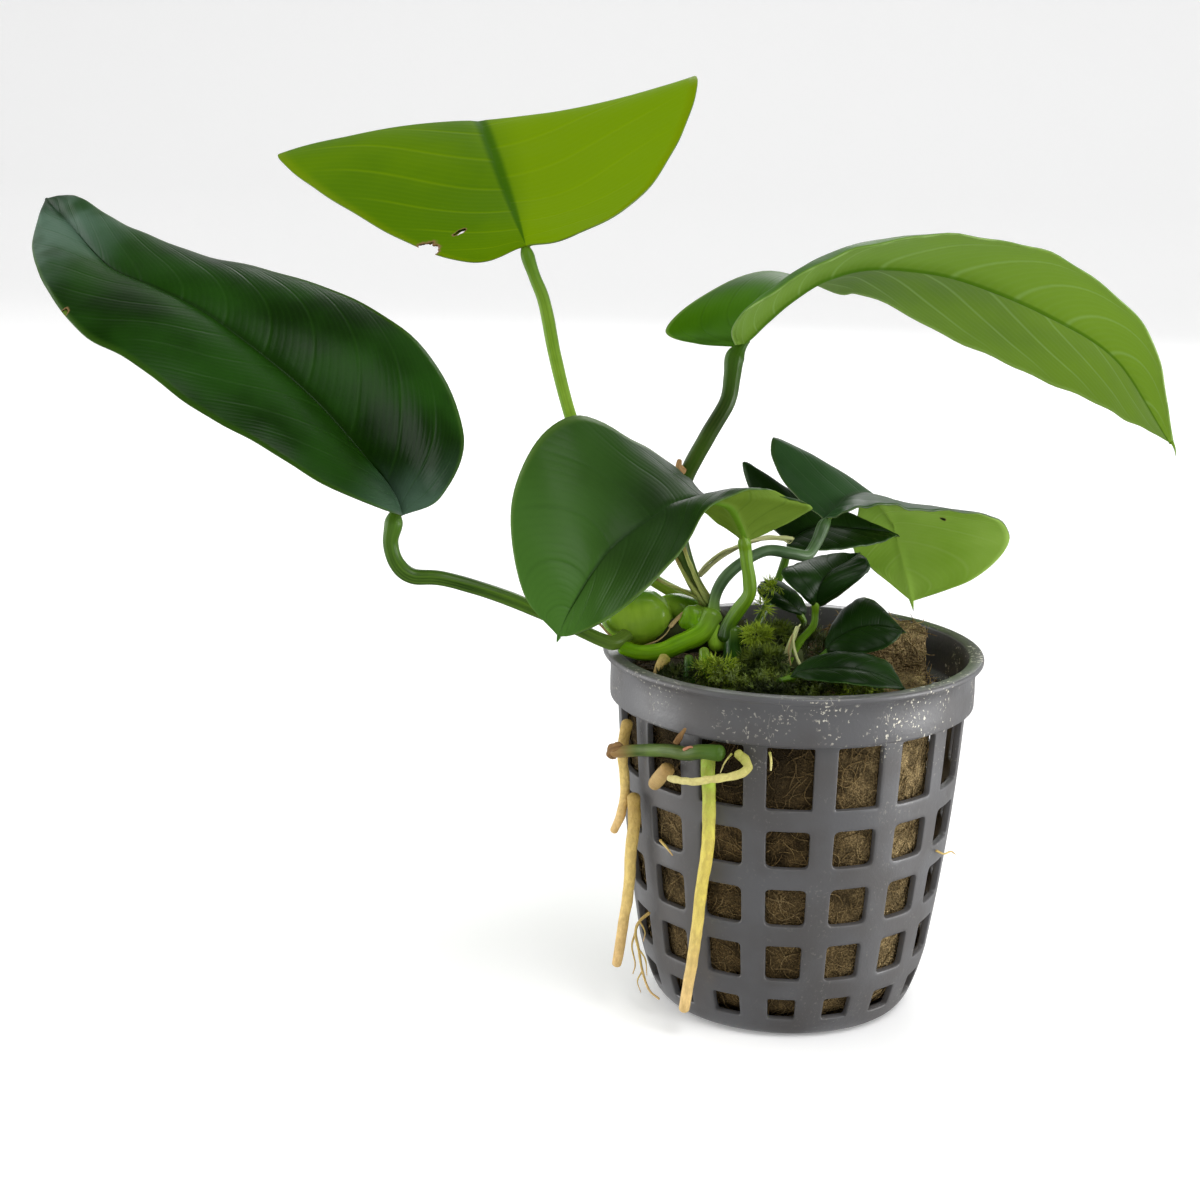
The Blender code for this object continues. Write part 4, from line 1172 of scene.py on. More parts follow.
def plug_mesh():
    """The rockwool body: a turned lump with a flat side, roughened into matted fibres."""
    plug = bmesh.new()
    rows = []
    for height in np.linspace(1.4, PLUG_TOP, PLUG_RINGS):
        radius = wall_radius(height) - PLUG_CLEARANCE
        radius -= 1.6 * max(0.0, (height - PLUG_TOP + 1.2) / 1.2) ** 2
        radius -= 2.4 * max(0.0, (5.0 - height) / 3.6) ** 2
        rows.append((radius, height))
    top = [(share * rows[-1][0], PLUG_TOP) for share in np.linspace(0.96, 0.06, 26)]
    foot = [(share * rows[0][0], rows[0][1]) for share in np.linspace(0.06, 0.94, 12)]
    turns = np.linspace(0, 2 * math.pi, PLUG_SIDES, endpoint=False)
    points = np.array([(min(radius * math.cos(turn), PLUG_FLAT_X), radius * math.sin(turn), height)
                       for radius, height in foot + rows + top for turn in turns])
    lumps = roughness_at(points, 0.35, 4.0) * 0.34 + roughness_at(points, 1.3, 9.0) * 0.16
    outward = unit(points - points * (0.0, 0.0, 1.0))
    upper = smoothstep((points[:, 2] - PLUG_TOP + 0.6) / 0.5)[:, None]
    outward = outward * (1 - upper) + np.array([0.0, 0.0, 1.0]) * upper
    points = points + outward * (lumps - 0.12)[:, None]
    verts = add_rings(plug, points.reshape(-1, PLUG_SIDES, 3))
    plug.faces.new(verts[:PLUG_SIDES][::-1])
    plug.faces.new(verts[-PLUG_SIDES:])
    return plug


def add_wrap(plug):
    """The wrap's edge that stands above the plug at the back: a thick curved slab with a worn top."""
    block = bmesh.new()
    bmesh.ops.create_cube(block, size=1.0)
    for axis, cuts in enumerate(WRAP_CUTS):
        lengthwise = [edge for edge in block.edges
                      if abs(edge.verts[0].co[axis] - edge.verts[1].co[axis]) > 0.9]
        bmesh.ops.subdivide_edges(block, edges=lengthwise, cuts=cuts, use_grid_fill=True)
    grown = {}
    for vertex in block.verts:
        depth, share, level = vertex.co.x + 0.5, vertex.co.y + 0.5, vertex.co.z + 0.5
        angle = WRAP_SPAN[0] + (WRAP_SPAN[1] - WRAP_SPAN[0]) * share
        pull = 0.09 * level ** 4 * (2 * depth - 1)
        radius = WRAP_RADII[0] + (WRAP_RADII[1] - WRAP_RADII[0]) * (depth - pull)
        worn = 1 - 0.10 * abs(2 * share - 1) ** 3 - 0.07 * (2 * depth - 1) ** 2
        height = WRAP_LOW + (WRAP_TOP - WRAP_LOW) * level * worn
        point = Vector((min(radius * math.cos(angle), PLUG_FLAT_X), radius * math.sin(angle), height))
        lump = noise.noise(point * 0.4 + Vector((7.0, 2.0, 1.0))) * 0.5 + noise.noise(point * 1.4) * 0.22
        outward = Vector((math.cos(angle) * (2 * depth - 1), math.sin(angle) * (2 * depth - 1), 0.8 * level))
        vertex.co = point + outward * (lump - 0.15)
        grown[vertex] = plug.verts.new(vertex.co * MM)
    for face in block.faces:
        plug.faces.new([grown[vertex] for vertex in face.verts])
    block.free()


def fibre_shapes(material):
    """A few curled fibres to scatter over the rockwool, each a thin three-sided thread lying flat."""
    shapes = []
    steps = np.linspace(-1, 1, 9)
    for index in range(5):
        picker = random.Random(50 + index)
        bend, rise = picker.uniform(-0.9, 0.9), picker.uniform(0.2, 0.5)
        length = picker.uniform(3.0, 5.5)
        path = [(step * length / 2, bend * step * step + 0.3 * math.sin(3 * step + index),
                 rise * (1 - step * step) * 0.5 - 0.05) for step in steps]
        radii = [0.11 * (1 - 0.6 * abs(step)) for step in steps]
        shapes.append(thread(f"fibre_{index}", np.array(path), radii, material))
    return shapes


def thread(name, path, radii, material):
    """A thin thread with flat ends, for shapes that are repeated many times."""
    _, first, second = carried_frames(path)
    sides = THREAD_SIDES
    angle = np.linspace(0, 2 * math.pi, sides, endpoint=False)
    rows = [centre + (np.outer(np.cos(angle), across) + np.outer(np.sin(angle), up)) * radius
            for centre, radius, across, up in zip(path, radii, first, second)]
    last = (len(path) - 1) * sides
    ends = [tuple(range(sides))[::-1], tuple(range(last, last + sides))]
    uvs = [(row / (len(path) - 1), column / sides) for row in range(len(path)) for column in range(sides)]
    faces = ring_faces(len(path), sides) + ends
    return piece_from(name, np.array(rows).reshape(-1, 3), faces, [material], uvs)


# --- Stalks, crown and roots ---

# Leaf stalks, each named after its blade: its skin, how much wider it is where it clasps the crown, and where
# its foot is, in millimetres, for the ones that grow out from between others.
PETIOLES = {
    "petiole_left": ("petiole_deep", 1.1, ((-21, -6, 50.9),)),
    "petiole_top": ("petiole_fresh", 1.5, ((-11.6, 1.6, 52.2),)),
    "petiole_right": ("petiole_right", 1.55, ((-9.9, -3.9, 51), (-10.7, -3.7, 52.8))),
    "petiole_centre": ("petiole_middle", 1.35, ((-8.4, -7.5, 51),)),
    "petiole_back": ("petiole_frosted", 2.1, ((-9.6, -6.2, 49.8), (-10.1, -6, 52))),
    "petiole_dark": ("petiole_deep", 1.3, ((-5.8, -1, 48.6),)),
    "petiole_small_upper": ("petiole_middle", 1.6, ((-1.2, -9, 47),)),
    "petiole_small_inner": ("petiole_middle", 1.3, ()),
    "petiole_small_middle": ("petiole_young", 1.7, ((-0.6, -11.2, 46.4),)),
    "petiole_small_front": ("petiole_middle", 1.5, ()),
}
# Points, in millimetres, that carry a piece on into another one, so that its end is out of sight.
HIDDEN_ENDS = {"rhizome": ((-10.4, -6, 53.2),)}
HIDDEN_STARTS = {"root_long": ((-9.9, -21.7, 39.3),)}
# Other pieces of the crown: skin, share of the path's radius at the near and far ends.
CROWN_PIECES = {
    "rhizome": ("neck", 0.8, 1),
    "leaf_base_front": ("base_bright", 1, 0.9),
    "leaf_base_left": ("base_dark", 1, 0.9),
    "leaf_base_centre": ("base_dark", 1.05, 1),
    "side_stem": ("stem", 1, 1),
}
SHEATHS = ("sheath_torn", "sheath_pale")
# Roots: skin, lumpiness, spacing of the lumps, radius at the far end as a share of the path's.
ROOTS = {
    "root_long": ("root_green_to_tan", 0.1, 0.55, 1.55),
    "root_left": ("root_tan", 0.16, 0.6, 1.4),
    "root_side": ("root_tan", 0.12, 0.55, 1.6),
    "root_hook": ("root_pale", 0.24, 1.1, 1),
    "root_stub": ("root_cut", 0.14, 0.8, 1),
    "root_bud": ("root_bud", 0.12, 0.7, 0.55),
}
# Growing tips, in millimetres: centre, half sizes, lean in degrees.
SWELLINGS = {
    "growth_bulb": ((-20.3, -4.8, 52.3), (4.6, 3, 3.8), -8),
    "growth_lobe": ((-14.9, -1, 52.7), (3.4, 2, 2.1), 10),
}
# Where the leaf stalks part from the rhizome it swells into a neck, rough underneath, with near-black lumps
# there that are painted shade between the stalks: centre, half sizes, lean in degrees, skin.
NECKS = (
    ((-12.2, -5.4, 52.2), (2.8, 1.8, 2.3), 0, "neck"),
    ((-9.5, -5, 50.5), (3.4, 2.6, 3.2), 20, "core"),
    ((-13.8, -4.6, 50), (4.6, 2.6, 2.4), 0, "core"),
    ((-3.5, -6, 48.6), (5, 3.6, 3.2), 0, "core"),
)
# Small parts that lie on the crown and the roots, each a run of points in millimetres: skin, radius at the
# start and end, how flat, points.
CROWN_SCRAPS = (
    ("membrane", 0.42, 0.22, 0.3, ((-25, -6.7, 51.8), (-23.4, -7.7, 50.5), (-21.6, -8.2, 49.5),
        (-20.1, -8.2, 49.2), (-18.6, -8.1, 49.7), (-17.2, -7.9, 50.3), (-16.2, -7.4, 51.2),
        (-15.7, -6.8, 52.1))),
    ("membrane", 0.3, 0.45, 0.5, ((-15.8, -7, 51.9), (-15, -6, 52.7), (-13.9, -5.2, 53.4),
        (-12.9, -5, 53.8))),
    ("sheath", 0.3, 0.62, 0.4, ((-13, -1.2, 57.2), (-11.5, -1, 59.1), (-9.6, -0.6, 60.5),
        (-7.6, -0.2, 61.3))),
    ("sheath", 0.62, 0.12, 0.4, ((-7.9, -0.2, 61.2), (-5.7, 0.2, 62), (-3.2, 0.8, 62.2), (-1, 1.4, 61.9))),
    ("sheath", 0.16, 0.04, 0.6, ((-1.6, 1.2, 62), (-0.9, 1.5, 61.6), (-0.3, 1.6, 62.3))),
    ("olive", 0.52, 0.62, 0.5, ((-15.4, -3.3, 60), (-14.4, -3.6, 58.2), (-13.2, -4.2, 56.6),
        (-11.5, -5, 54.6))),
    ("olive", 0.42, 0.5, 0.6, ((-14.6, -3.4, 61.8), (-13.7, -3.8, 59.6), (-12.5, -4.6, 57.2),
        (-11.2, -5.4, 55))),
    ("olive", 0.34, 0.42, 0.6, ((-18.2, -2.7, 57.2), (-16.4, -3, 56.5), (-14.2, -3.6, 55.8),
        (-11.9, -4.4, 54.8))),
    ("scar", 0.22, 0.36, 0.5, ((-27.2, 5.2, 69.4), (-26.7, 4.8, 67.8), (-26.2, 4.7, 66.4),
        (-25.7, 4.5, 65.4))),
    ("scar", 0.6, 0.34, 0.9, ((-15, -2.4, 71.4), (-15.5, -2.5, 72.1), (-15.4, -2.5, 72.8))),
    ("membrane", 0.26, 0.1, 0.5, ((-0.2, -11.9, 48.8), (-0.5, -11.7, 50.6), (-0.1, -11.4, 52.6))),
    ("sheath", 0.45, 0.22, 0.5, ((0.9, -12.1, 49), (0.2, -11.6, 50.8), (0.1, -11.2, 52.5),
        (0.8, -10.4, 53.6))),
)
FINE_ROOTS = (
    ("root_tan", 0.22, 0.14, 1, ((-17.4, -12, 14.4), (-18.7, -10.4, 12.6), (-19.3, -9.4, 10.6),
        (-18.8, -9.8, 8.4), (-18.2, -10.4, 5.6), (-17.2, -11.4, 3.4), (-15.8, -12.4, 2.6))),
    ("root_tan", 0.16, 0.07, 1, ((-19.3, -9.4, 10.6), (-19.8, -8.4, 8.2), (-19.3, -8.6, 5.8),
        (-19.6, -8.2, 4.2))),
    ("root_tan", 0.15, 0.06, 1, ((-18.8, -9.8, 8.4), (-17.8, -11.2, 7.6), (-17.5, -11.8, 5.6))),
    ("root_tan", 0.13, 0.05, 1, ((-18.7, -10.4, 12.6), (-17.9, -11.6, 11.6), (-18.1, -11.4, 10.2))),
    ("root_tan", 0.13, 0.05, 1, ((-18.2, -10.4, 5.6), (-18.9, -9.2, 3.6), (-18.4, -9.6, 2.2))),
    ("root_tan", 0.2, 0.08, 1, ((-15.9, -15.9, 25.9), (-14.9, -17.2, 25.3), (-14.2, -18.2, 24.8))),
    ("root_tan", 0.16, 0.07, 1, ((19.5, -9.9, 24.1), (20.6, -8.4, 23.2), (21.6, -6.8, 23),
        (22.3, -5.6, 22.2))),
    ("root_pale", 0.2, 0.12, 1, ((-2.3, -23.4, 40.6), (-2.1, -23.9, 39.7), (-2.1, -24.2, 38.6))),
    ("root_pale", 0.15, 0.07, 1, ((-7, -23.3, 40.2), (-7.8, -23.2, 39), (-8.3, -22.9, 37.6))),
    ("scar", 0.55, 0.2, 0.35, ((-13.9, -20.6, 40.6), (-13.4, -20.9, 41.6), (-12.9, -21.1, 42.5))),
    ("pink", 0.4, 0.25, 0.6, ((-12.8, -21.3, 39.9), (-12.1, -21.6, 40.3), (-11.4, -21.9, 40.1))),
    ("scar", 0.75, 0.95, 0.9, ((-22.5, -14.4, 36.6), (-22.2, -14.6, 37.3), (-21.6, -14.9, 37.7))),
)
# How far a leaf stalk runs on along the midrib, and how far below the blade it stays.
JOINT_REACH = 1.6
JOINT_DROP = 0.22


def grooved_section(angle):
    """A stalk's cross-section: round, with a shallow channel on one side and two soft edges beside it."""
    turn = np.abs(np.angle(np.exp(1j * (angle - math.pi / 2))))
    return 1 - 0.20 * np.exp(-(turn / 0.38) ** 2) + 0.05 * np.exp(-((turn - 0.75) / 0.3) ** 2)


def petiole_piece(name, material):
    """A leaf stalk: grooved, wider where it clasps the crown, and tapering under the blade at its top."""
    _, base_width, foot = PETIOLES[name]
    start, end, points = PATHS[name]
    blade = BLADES[name.replace("petiole", "leaf")]
    joint = np.array(blade[0][0])
    first, left, right = np.array(blade[1])
    ahead = unit(first - joint)
    reach = joint + ahead * JOINT_REACH + unit(np.cross(ahead, right - left)) * JOINT_DROP
    count = 12 * len(points)
    path = smooth_curve([*foot, *points, tuple(reach)], count)
    share = np.linspace(0, 1, count)
    radii = start + (end - start) * share
    radii = radii * (1 + (base_width - 1) * (1 - smoothstep(share / 0.22)))
    radii = radii * (1 + 0.10 * smoothstep((share - 0.82) / 0.08) * (1 - smoothstep((share - 0.92) / 0.08)))
    radii = radii * (1 - 0.60 * smoothstep((share - 0.90) / 0.10))
    radii = radii * (1 + 0.03 * np.sin(share * 23.0 + len(name)))
    return tube(name + "_stalk", path, radii, material, sides=28, section=grooved_section,
                lumps=0.035, lump_scale=0.45, seed=len(name) * 1.7)


def stalk_piece(name, material, lumps, lump_scale, far=1.0, near=1.0, sides=24):
    """A round stalk, base or root along its path, a little uneven."""
    start, end, points = PATHS[name]
    points = [*HIDDEN_STARTS.get(name, ()), *points, *HIDDEN_ENDS.get(name, ())]
    count = 16 * len(points)
    radii = start * near + (end * far - start * near) * np.linspace(0, 1, count)
    return tube(name + "_skin", smooth_curve(points, count), radii, material, sides=sides, lumps=lumps,
                lump_scale=lump_scale, seed=len(name) * 2.3)


def swelling_piece(name, centre, halves, turn, material, detail=5, rough=0.07):
    """A plump growing tip: an egg shape with soft lumps, mapped so that its streaks run up and down it."""
    ball = bmesh.new()
    bmesh.ops.create_icosphere(ball, subdivisions=detail, radius=1.0)
    place = Matrix.Translation(centre) @ Euler((0.0, math.radians(turn), 0.0)).to_matrix().to_4x4()
    uvs = []
    for vertex in ball.verts:
        direction = vertex.co.normalized()
        lump = 1 + rough * noise.noise(direction * 1.6 + Vector((3.0, 1.0, 5.0)))
        lump += rough * 0.2 * noise.noise(direction * 5.0 + Vector(centre))
        uvs.append((0.5 + direction.z / 2, 0.5 + direction.x / 2))
        vertex.co = place @ Vector(axis * half * lump for axis, half in zip(direction, halves)) * MM
    item = made_item(name, ball, [material])
    layer = item.data.uv_layers.new(name=MAP_NAME)
    for loop in item.data.loops:
        layer.data[loop.index].uv = uvs[loop.vertex_index]
    return item


def scrap_pieces(table, skins, name):
    """The small tubes and ribbons of a table, joined into one object."""
    items = []
    for index, (skin, start, end, flat, points) in enumerate(table):
        path = smooth_curve(points, 6 * len(points))
        items.append(tube(f"{name}_{index}", path, np.linspace(start, end, len(path)), skins[skin], sides=12,
                          lumps=0.22, lump_scale=1.3, seed=index * 3.1, flat=flat))
    return merge_items(name, items)


# --- Moss ---

# Tufts of moss: centre, half sizes, shoots for each square millimetre, skin, kind of shoot. The dark skin
# is painted shade, on the tufts that lie low and under the crown.
MOSS_BEDS = (
    ((-4.6, -8.8, 51.7), (1.5, 1, 1.2), 3.5, "bright", "needle"),
    ((-2.2, -7.2, 51), (2.2, 1.6, 1.8), 2.4, "deep", "needle"),
    ((-9.4, -13.4, 48), (2.6, 1.2, 1.5), 1.2, "bright", "needle"),
    ((-2.7, -6.4, 57.6), (1.3, 0.6, 0.6), 1.5, "bright", "needle"),
    ((-4, -6.8, 55.4), (0.7, 0.6, 1.5), 1.3, "bright", "needle"),
    ((-3.6, -11.4, 48.8), (3, 1.8, 1.7), 2.2, "deep", "needle"),
    ((-5.6, -14, 46.6), (4.6, 3.4, 1.4), 2, "deep", "sprig"),
    ((-12, -12, 46.4), (5.4, 2.6, 1.6), 1.5, "dark", "needle"),
    ((-1.5, -16.6, 46.6), (5.4, 2, 1), 2.4, "dark", "needle"),
    ((5.6, -16.8, 46.7), (5.6, 2, 0.8), 2.6, "deep", "sprig"),
    ((8.5, -17.2, 47), (3, 1.2, 0.6), 2.6, "bright", "sprig"),
    ((0.5, -4, 49), (4.2, 3.4, 2.6), 1.6, "dark", "needle"),
    ((-10, -3, 50.6), (3.6, 3, 1.8), 1.2, "dark", "needle"),
)
SPRIG_HEIGHT = 1.7
NEEDLE_HEIGHT = 1.5


def add_moss_leaf(vertices, faces, root, reach, rise, angle, width):
    """Add one narrow pointed moss leaf: four corners, two faces."""
    out = Vector((math.cos(angle), math.sin(angle), 0.0))
    across = Vector((-math.sin(angle), math.cos(angle), 0.0)) * width
    middle = root + out * reach * 0.5 + Vector((0, 0, rise * 0.62))
    start = len(vertices)
    vertices += [root, middle + across, root + out * reach + Vector((0, 0, rise)), middle - across]
    faces += [(start, start + 1, start + 2), (start, start + 2, start + 3)]


def sprig_leaves(index, vertices, faces):
    """A moss shoot with rows of tiny pointed leaves."""
    picker = random.Random(90 + index)
    bend = picker.uniform(0.1, 0.5) * SPRIG_HEIGHT
    stem = [(bend * t * t, 0.15 * math.sin(2 * t + index), SPRIG_HEIGHT * t) for t in np.linspace(0, 1, 4)]
    for step, point in enumerate(smooth_curve(stem, 10)):
        for side in range(2):
            angle = 2.4 * (2 * step + side) + picker.uniform(-0.3, 0.3)
            reach = 0.62 * (1 - 0.06 * step) * picker.uniform(0.8, 1.2)
            add_moss_leaf(vertices, faces, Vector(point), reach, reach * 0.75, angle, 0.08)


def needle_leaves(index, vertices, faces):
    """A star of long thin needles that spring from one point."""
    picker = random.Random(60 + index)
    for needle in range(12):
        angle = needle * 2.4 + picker.uniform(-0.4, 0.4)
        reach = picker.uniform(0.25, 1.0) * NEEDLE_HEIGHT
        rise = math.sqrt(max(0.05, 1 - (reach / NEEDLE_HEIGHT) ** 2)) * NEEDLE_HEIGHT
        rise *= picker.uniform(0.6, 1.1)
        add_moss_leaf(vertices, faces, Vector((0, 0, -0.1)), reach, rise, angle, 0.065)


MOSS_KINDS = {"sprig": sprig_leaves, "needle": needle_leaves}


def moss_shapes(kind, material):
    """Four shoots of one kind to scatter."""
    shapes = []
    for index in range(4):
        vertices, faces = [], []
        MOSS_KINDS[kind](index, vertices, faces)
        shapes.append(piece_from(f"{kind}_{index}", [tuple(point) for point in vertices], faces, [material]))
    return shapes


def moss_bed(centre, halves):
    """An egg shape for moss to grow on."""
    bed = bmesh.new()
    bmesh.ops.create_icosphere(bed, subdivisions=3, radius=1.0)
    for vertex in bed.verts:
        vertex.co = (Vector(centre) + Vector(axis * half for axis, half in zip(vertex.co, halves))) * MM
    return made_item("moss_bed", bed, smooth=False)


# --- Studio ---

CAMERA_PLACE = (0.0, -0.29424, 0.12519)
CAMERA_TURNS = (-4.97, 13.67, 0.99)
LIGHT_AIM = (0.0, 0.0, 0.07)
# Area lights: place, width, share of the key light's power.
LIGHTS = {
    "key_light": ((0.2, -0.28, 0.55), 0.26, 1),
    "right_light": ((0.6, -0.1, 0.06), 0.32, 1.9),
    "left_light": ((-0.58, 0.1, 0.42), 0.26, 0.5),
    "low_left_light": ((-0.62, -0.08, 0.04), 0.3, 1.2),
    "back_light": ((0.05, 0.6, 0.36), 0.3, 0.8),
}
# The floor is as wide as it is deep in front, and curves up behind into the backdrop, in metres.
FLOOR_HALF_WIDTH = 2.5
FLOOR_BACK = 0.9
FLOOR_CURVE = 0.6
BACKDROP_HEIGHT = 2.6


def camera_matrix():
    """The camera's place and aim: yaw and pitch from straight ahead along +Y, then a slight roll."""
    yaw, pitch, roll = (math.radians(turn) for turn in CAMERA_TURNS)
    ahead = Vector((math.sin(yaw) * math.cos(pitch), math.cos(yaw) * math.cos(pitch), -math.sin(pitch)))
    right = Vector((math.cos(yaw), -math.sin(yaw), 0.0))
    up = right.cross(ahead)
    rolled_right = right * math.cos(roll) + up * math.sin(roll)
    rolled_up = up * math.cos(roll) - right * math.sin(roll)
    turn = Matrix((rolled_right, rolled_up, -ahead)).transposed().to_4x4()
    return Matrix.Translation(CAMERA_PLACE) @ turn


def floor_material(floor):
    """The pale floor, which glows a little so that it stays even."""
    skin = Skin("studio_floor", 0.9, 0.0)
    skin.set(Emission_Color=(*WHITE, 1.0), Emission_Strength=0.16)
    shade = [0.97 * part for part in floor]
    return skin.finished(skin.mix(skin.mottle(2.0, 40.0)["Cloud"] * 0.04, floor, shade))


def add_floor(material):
    """The floor and the backdrop in one sheet, which surfaces don't mirror."""
    section = [(-FLOOR_HALF_WIDTH, 0.0), (FLOOR_BACK, 0.0)]
    section += [(FLOOR_BACK + FLOOR_CURVE * math.sin(turn), FLOOR_CURVE - FLOOR_CURVE * math.cos(turn))
                for turn in np.radians((20, 45, 70, 90))]
    section.append((FLOOR_BACK + FLOOR_CURVE, BACKDROP_HEIGHT))
    stage = bmesh.new()
    rows = [[stage.verts.new((x, y, z)) for x in (-FLOOR_HALF_WIDTH, FLOOR_HALF_WIDTH)] for y, z in section]
    for low, high in zip(rows, rows[1:]):
        stage.faces.new((low[0], low[1], high[1], high[0]))
    backdrop = made_item("studio_floor", stage, [material])
    backdrop.visible_glossy = False


def add_sky(settings):
    """Even white light, stronger from behind, and dim where surfaces mirror it except at the sides."""
    world = bpy.data.worlds.new("studio_light")
    world.use_nodes = True
    sky = Builder(world.node_tree)
    background = world.node_tree.nodes["Background"]
    background.inputs["Color"].default_value = (*WHITE, 1.0)
    rays = sky.node("ShaderNodeLightPath")
    side, ahead, _ = sky.split(sky.node("ShaderNodeTexCoord")["Generated"])
    behind = sky.ramp(ahead, -0.5, 0.8)
    soft = sky.blend(behind, settings.sky_front, settings.sky_back)
    mirrored = sky.math("MAXIMUM", sky.blend(behind, settings.gloss_front, settings.gloss_back),
                        sky.ramp(abs(side), 0.78, 0.92, 0.0, 2.0))
    lit = sky.blend(rays["Is Glossy Ray"], soft, mirrored)
    sky.put(background.inputs["Strength"], sky.blend(rays["Is Camera Ray"], lit, 1.0))
    bpy.context.scene.world = world


def add_light(name, place, size, power):
    """A square soft white light aimed at the plant."""
    light = bpy.data.lights.new(name, "AREA")
    light.shape = "SQUARE"
    light.size = size
    light.energy = power
    item = linked(name, light)
    item.location = place
    item.rotation_euler = (Vector(LIGHT_AIM) - Vector(place)).to_track_quat("-Z", "Y").to_euler()


# --- Settings ---


def colour_setting(name, description, value):
    """A colour setting with its default."""
    return bpy.props.FloatVectorProperty(name=name, description=description, default=value, size=3, min=0.0,
                                         max=1.0, subtype="COLOR")


def amount_setting(name, description, value, **more):
    """A setting for an amount of zero or more."""
    return bpy.props.FloatProperty(name=name, description=description, default=value, min=0.0, **more)


def whole_setting(name, description, value, least=0):
    """A setting for a whole number."""
    return bpy.props.IntProperty(name=name, description=description, default=value, min=least)


class AnubiasStudioSettings(bpy.types.PropertyGroup):
    """The floor, the backdrop and the lights."""
    floor_colour: colour_setting("Floor", "Colour of the floor and the backdrop", (0.93, 0.93, 0.93))
    sky_front: amount_setting("Sky, front", "Strength of the even white light from the front", 0.60)
    sky_back: amount_setting("Sky, back", "Strength of the even white light from behind", 1.1)
    gloss_front: amount_setting("Mirrored sky, front", "Strength of the front light in reflections", 0.02)
    gloss_back: amount_setting("Mirrored sky, back", "Strength of the back light in reflections", 0.6)
    key_power: amount_setting("Key light", "Power of the large light above", 1.5, unit="POWER")
    lens: bpy.props.FloatProperty(name="Lens", description="Focal length of the camera", default=69.0,
                                  min=10.0, unit="CAMERA")


class AnubiasPotSettings(bpy.types.PropertyGroup):
    """The net pot and what fills it."""
    sectors: whole_setting("Sectors", "How many like sectors make up the pot", 8, 3)
    plastic: colour_setting("Plastic", "Colour of the pot", (0.1, 0.1, 0.104))
    plastic_shade: colour_setting("Plastic, worn", "Colour of the dull plastic", (0.078, 0.074, 0.073))
    lime: colour_setting("Lime", "Colour of the specks and streaks left by hard water", (0.72, 0.68, 0.56))
    wool_dark: colour_setting("Rockwool, dark", "Colour of the wet wool", (0.03, 0.019, 0.007))
    wool_middle: colour_setting("Rockwool", "Main colour of the wool", (0.17, 0.11, 0.042))
    wool_light: colour_setting("Rockwool, light", "Colour of the brighter wool", (0.34, 0.235, 0.1))
    wool_dried: colour_setting("Rockwool, dry", "Colour of the dry wool at the sides", (0.6, 0.44, 0.21))
    fibre_density: amount_setting("Fibre density", "Loose fibres for each square metre of wool", 520000.0)


class AnubiasLeafSettings(bpy.types.PropertyGroup):
    """The blades and their stalks."""
    dark_green: colour_setting("Dark green", "Top face of the glossy blade", (0.003, 0.016, 0.0))
    middle_green: colour_setting("Middle green", "Lighter patches of the glossy blade", (0.009, 0.046, 0.001))
    fresh_green: colour_setting("Fresh green", "Underside of the upper blade", (0.066, 0.15, 0.0))
    # Painted light: the half of the upper blade that light falls on and shines through, painted lighter.
    yellow_green: colour_setting("Yellow green", "Sunny half of the upper blade", (0.145, 0.25, 0.0))
    seed: whole_setting("Seed", "Chooses how the blades ripple", 3)


class AnubiasCrownSettings(bpy.types.PropertyGroup):
    """The rhizome, the growing tip and the roots."""
    bulb_green: colour_setting("Bulb", "Colour of the growing tip", (0.11, 0.23, 0.006))
    bulb_light: colour_setting("Bulb, light", "Colour of the streaks on the growing tip", (0.22, 0.36, 0.03))
    root_tan: colour_setting("Root", "Colour of a root", (0.78, 0.58, 0.18))
    root_dark: colour_setting("Root, marks", "Colour of the marks on a root", (0.33, 0.2, 0.05))


class AnubiasMossSettings(bpy.types.PropertyGroup):
    """The moss on the crown."""
    bright: colour_setting("Moss, tips", "Colour of fresh moss", (0.3, 0.42, 0.012))
    deep: colour_setting("Moss, shade", "Colour of old moss", (0.022, 0.045, 0.004))
    density: amount_setting("Density", "Share of the full number of sprigs", 1.0, subtype="FACTOR")
    seed: whole_setting("Seed", "Chooses where the sprigs stand", 11)


SETTINGS = {
    "anubias_studio": AnubiasStudioSettings,
    "anubias_pot": AnubiasPotSettings,
    "anubias_leaves": AnubiasLeafSettings,
    "anubias_crown": AnubiasCrownSettings,
    "anubias_moss": AnubiasMossSettings,
}
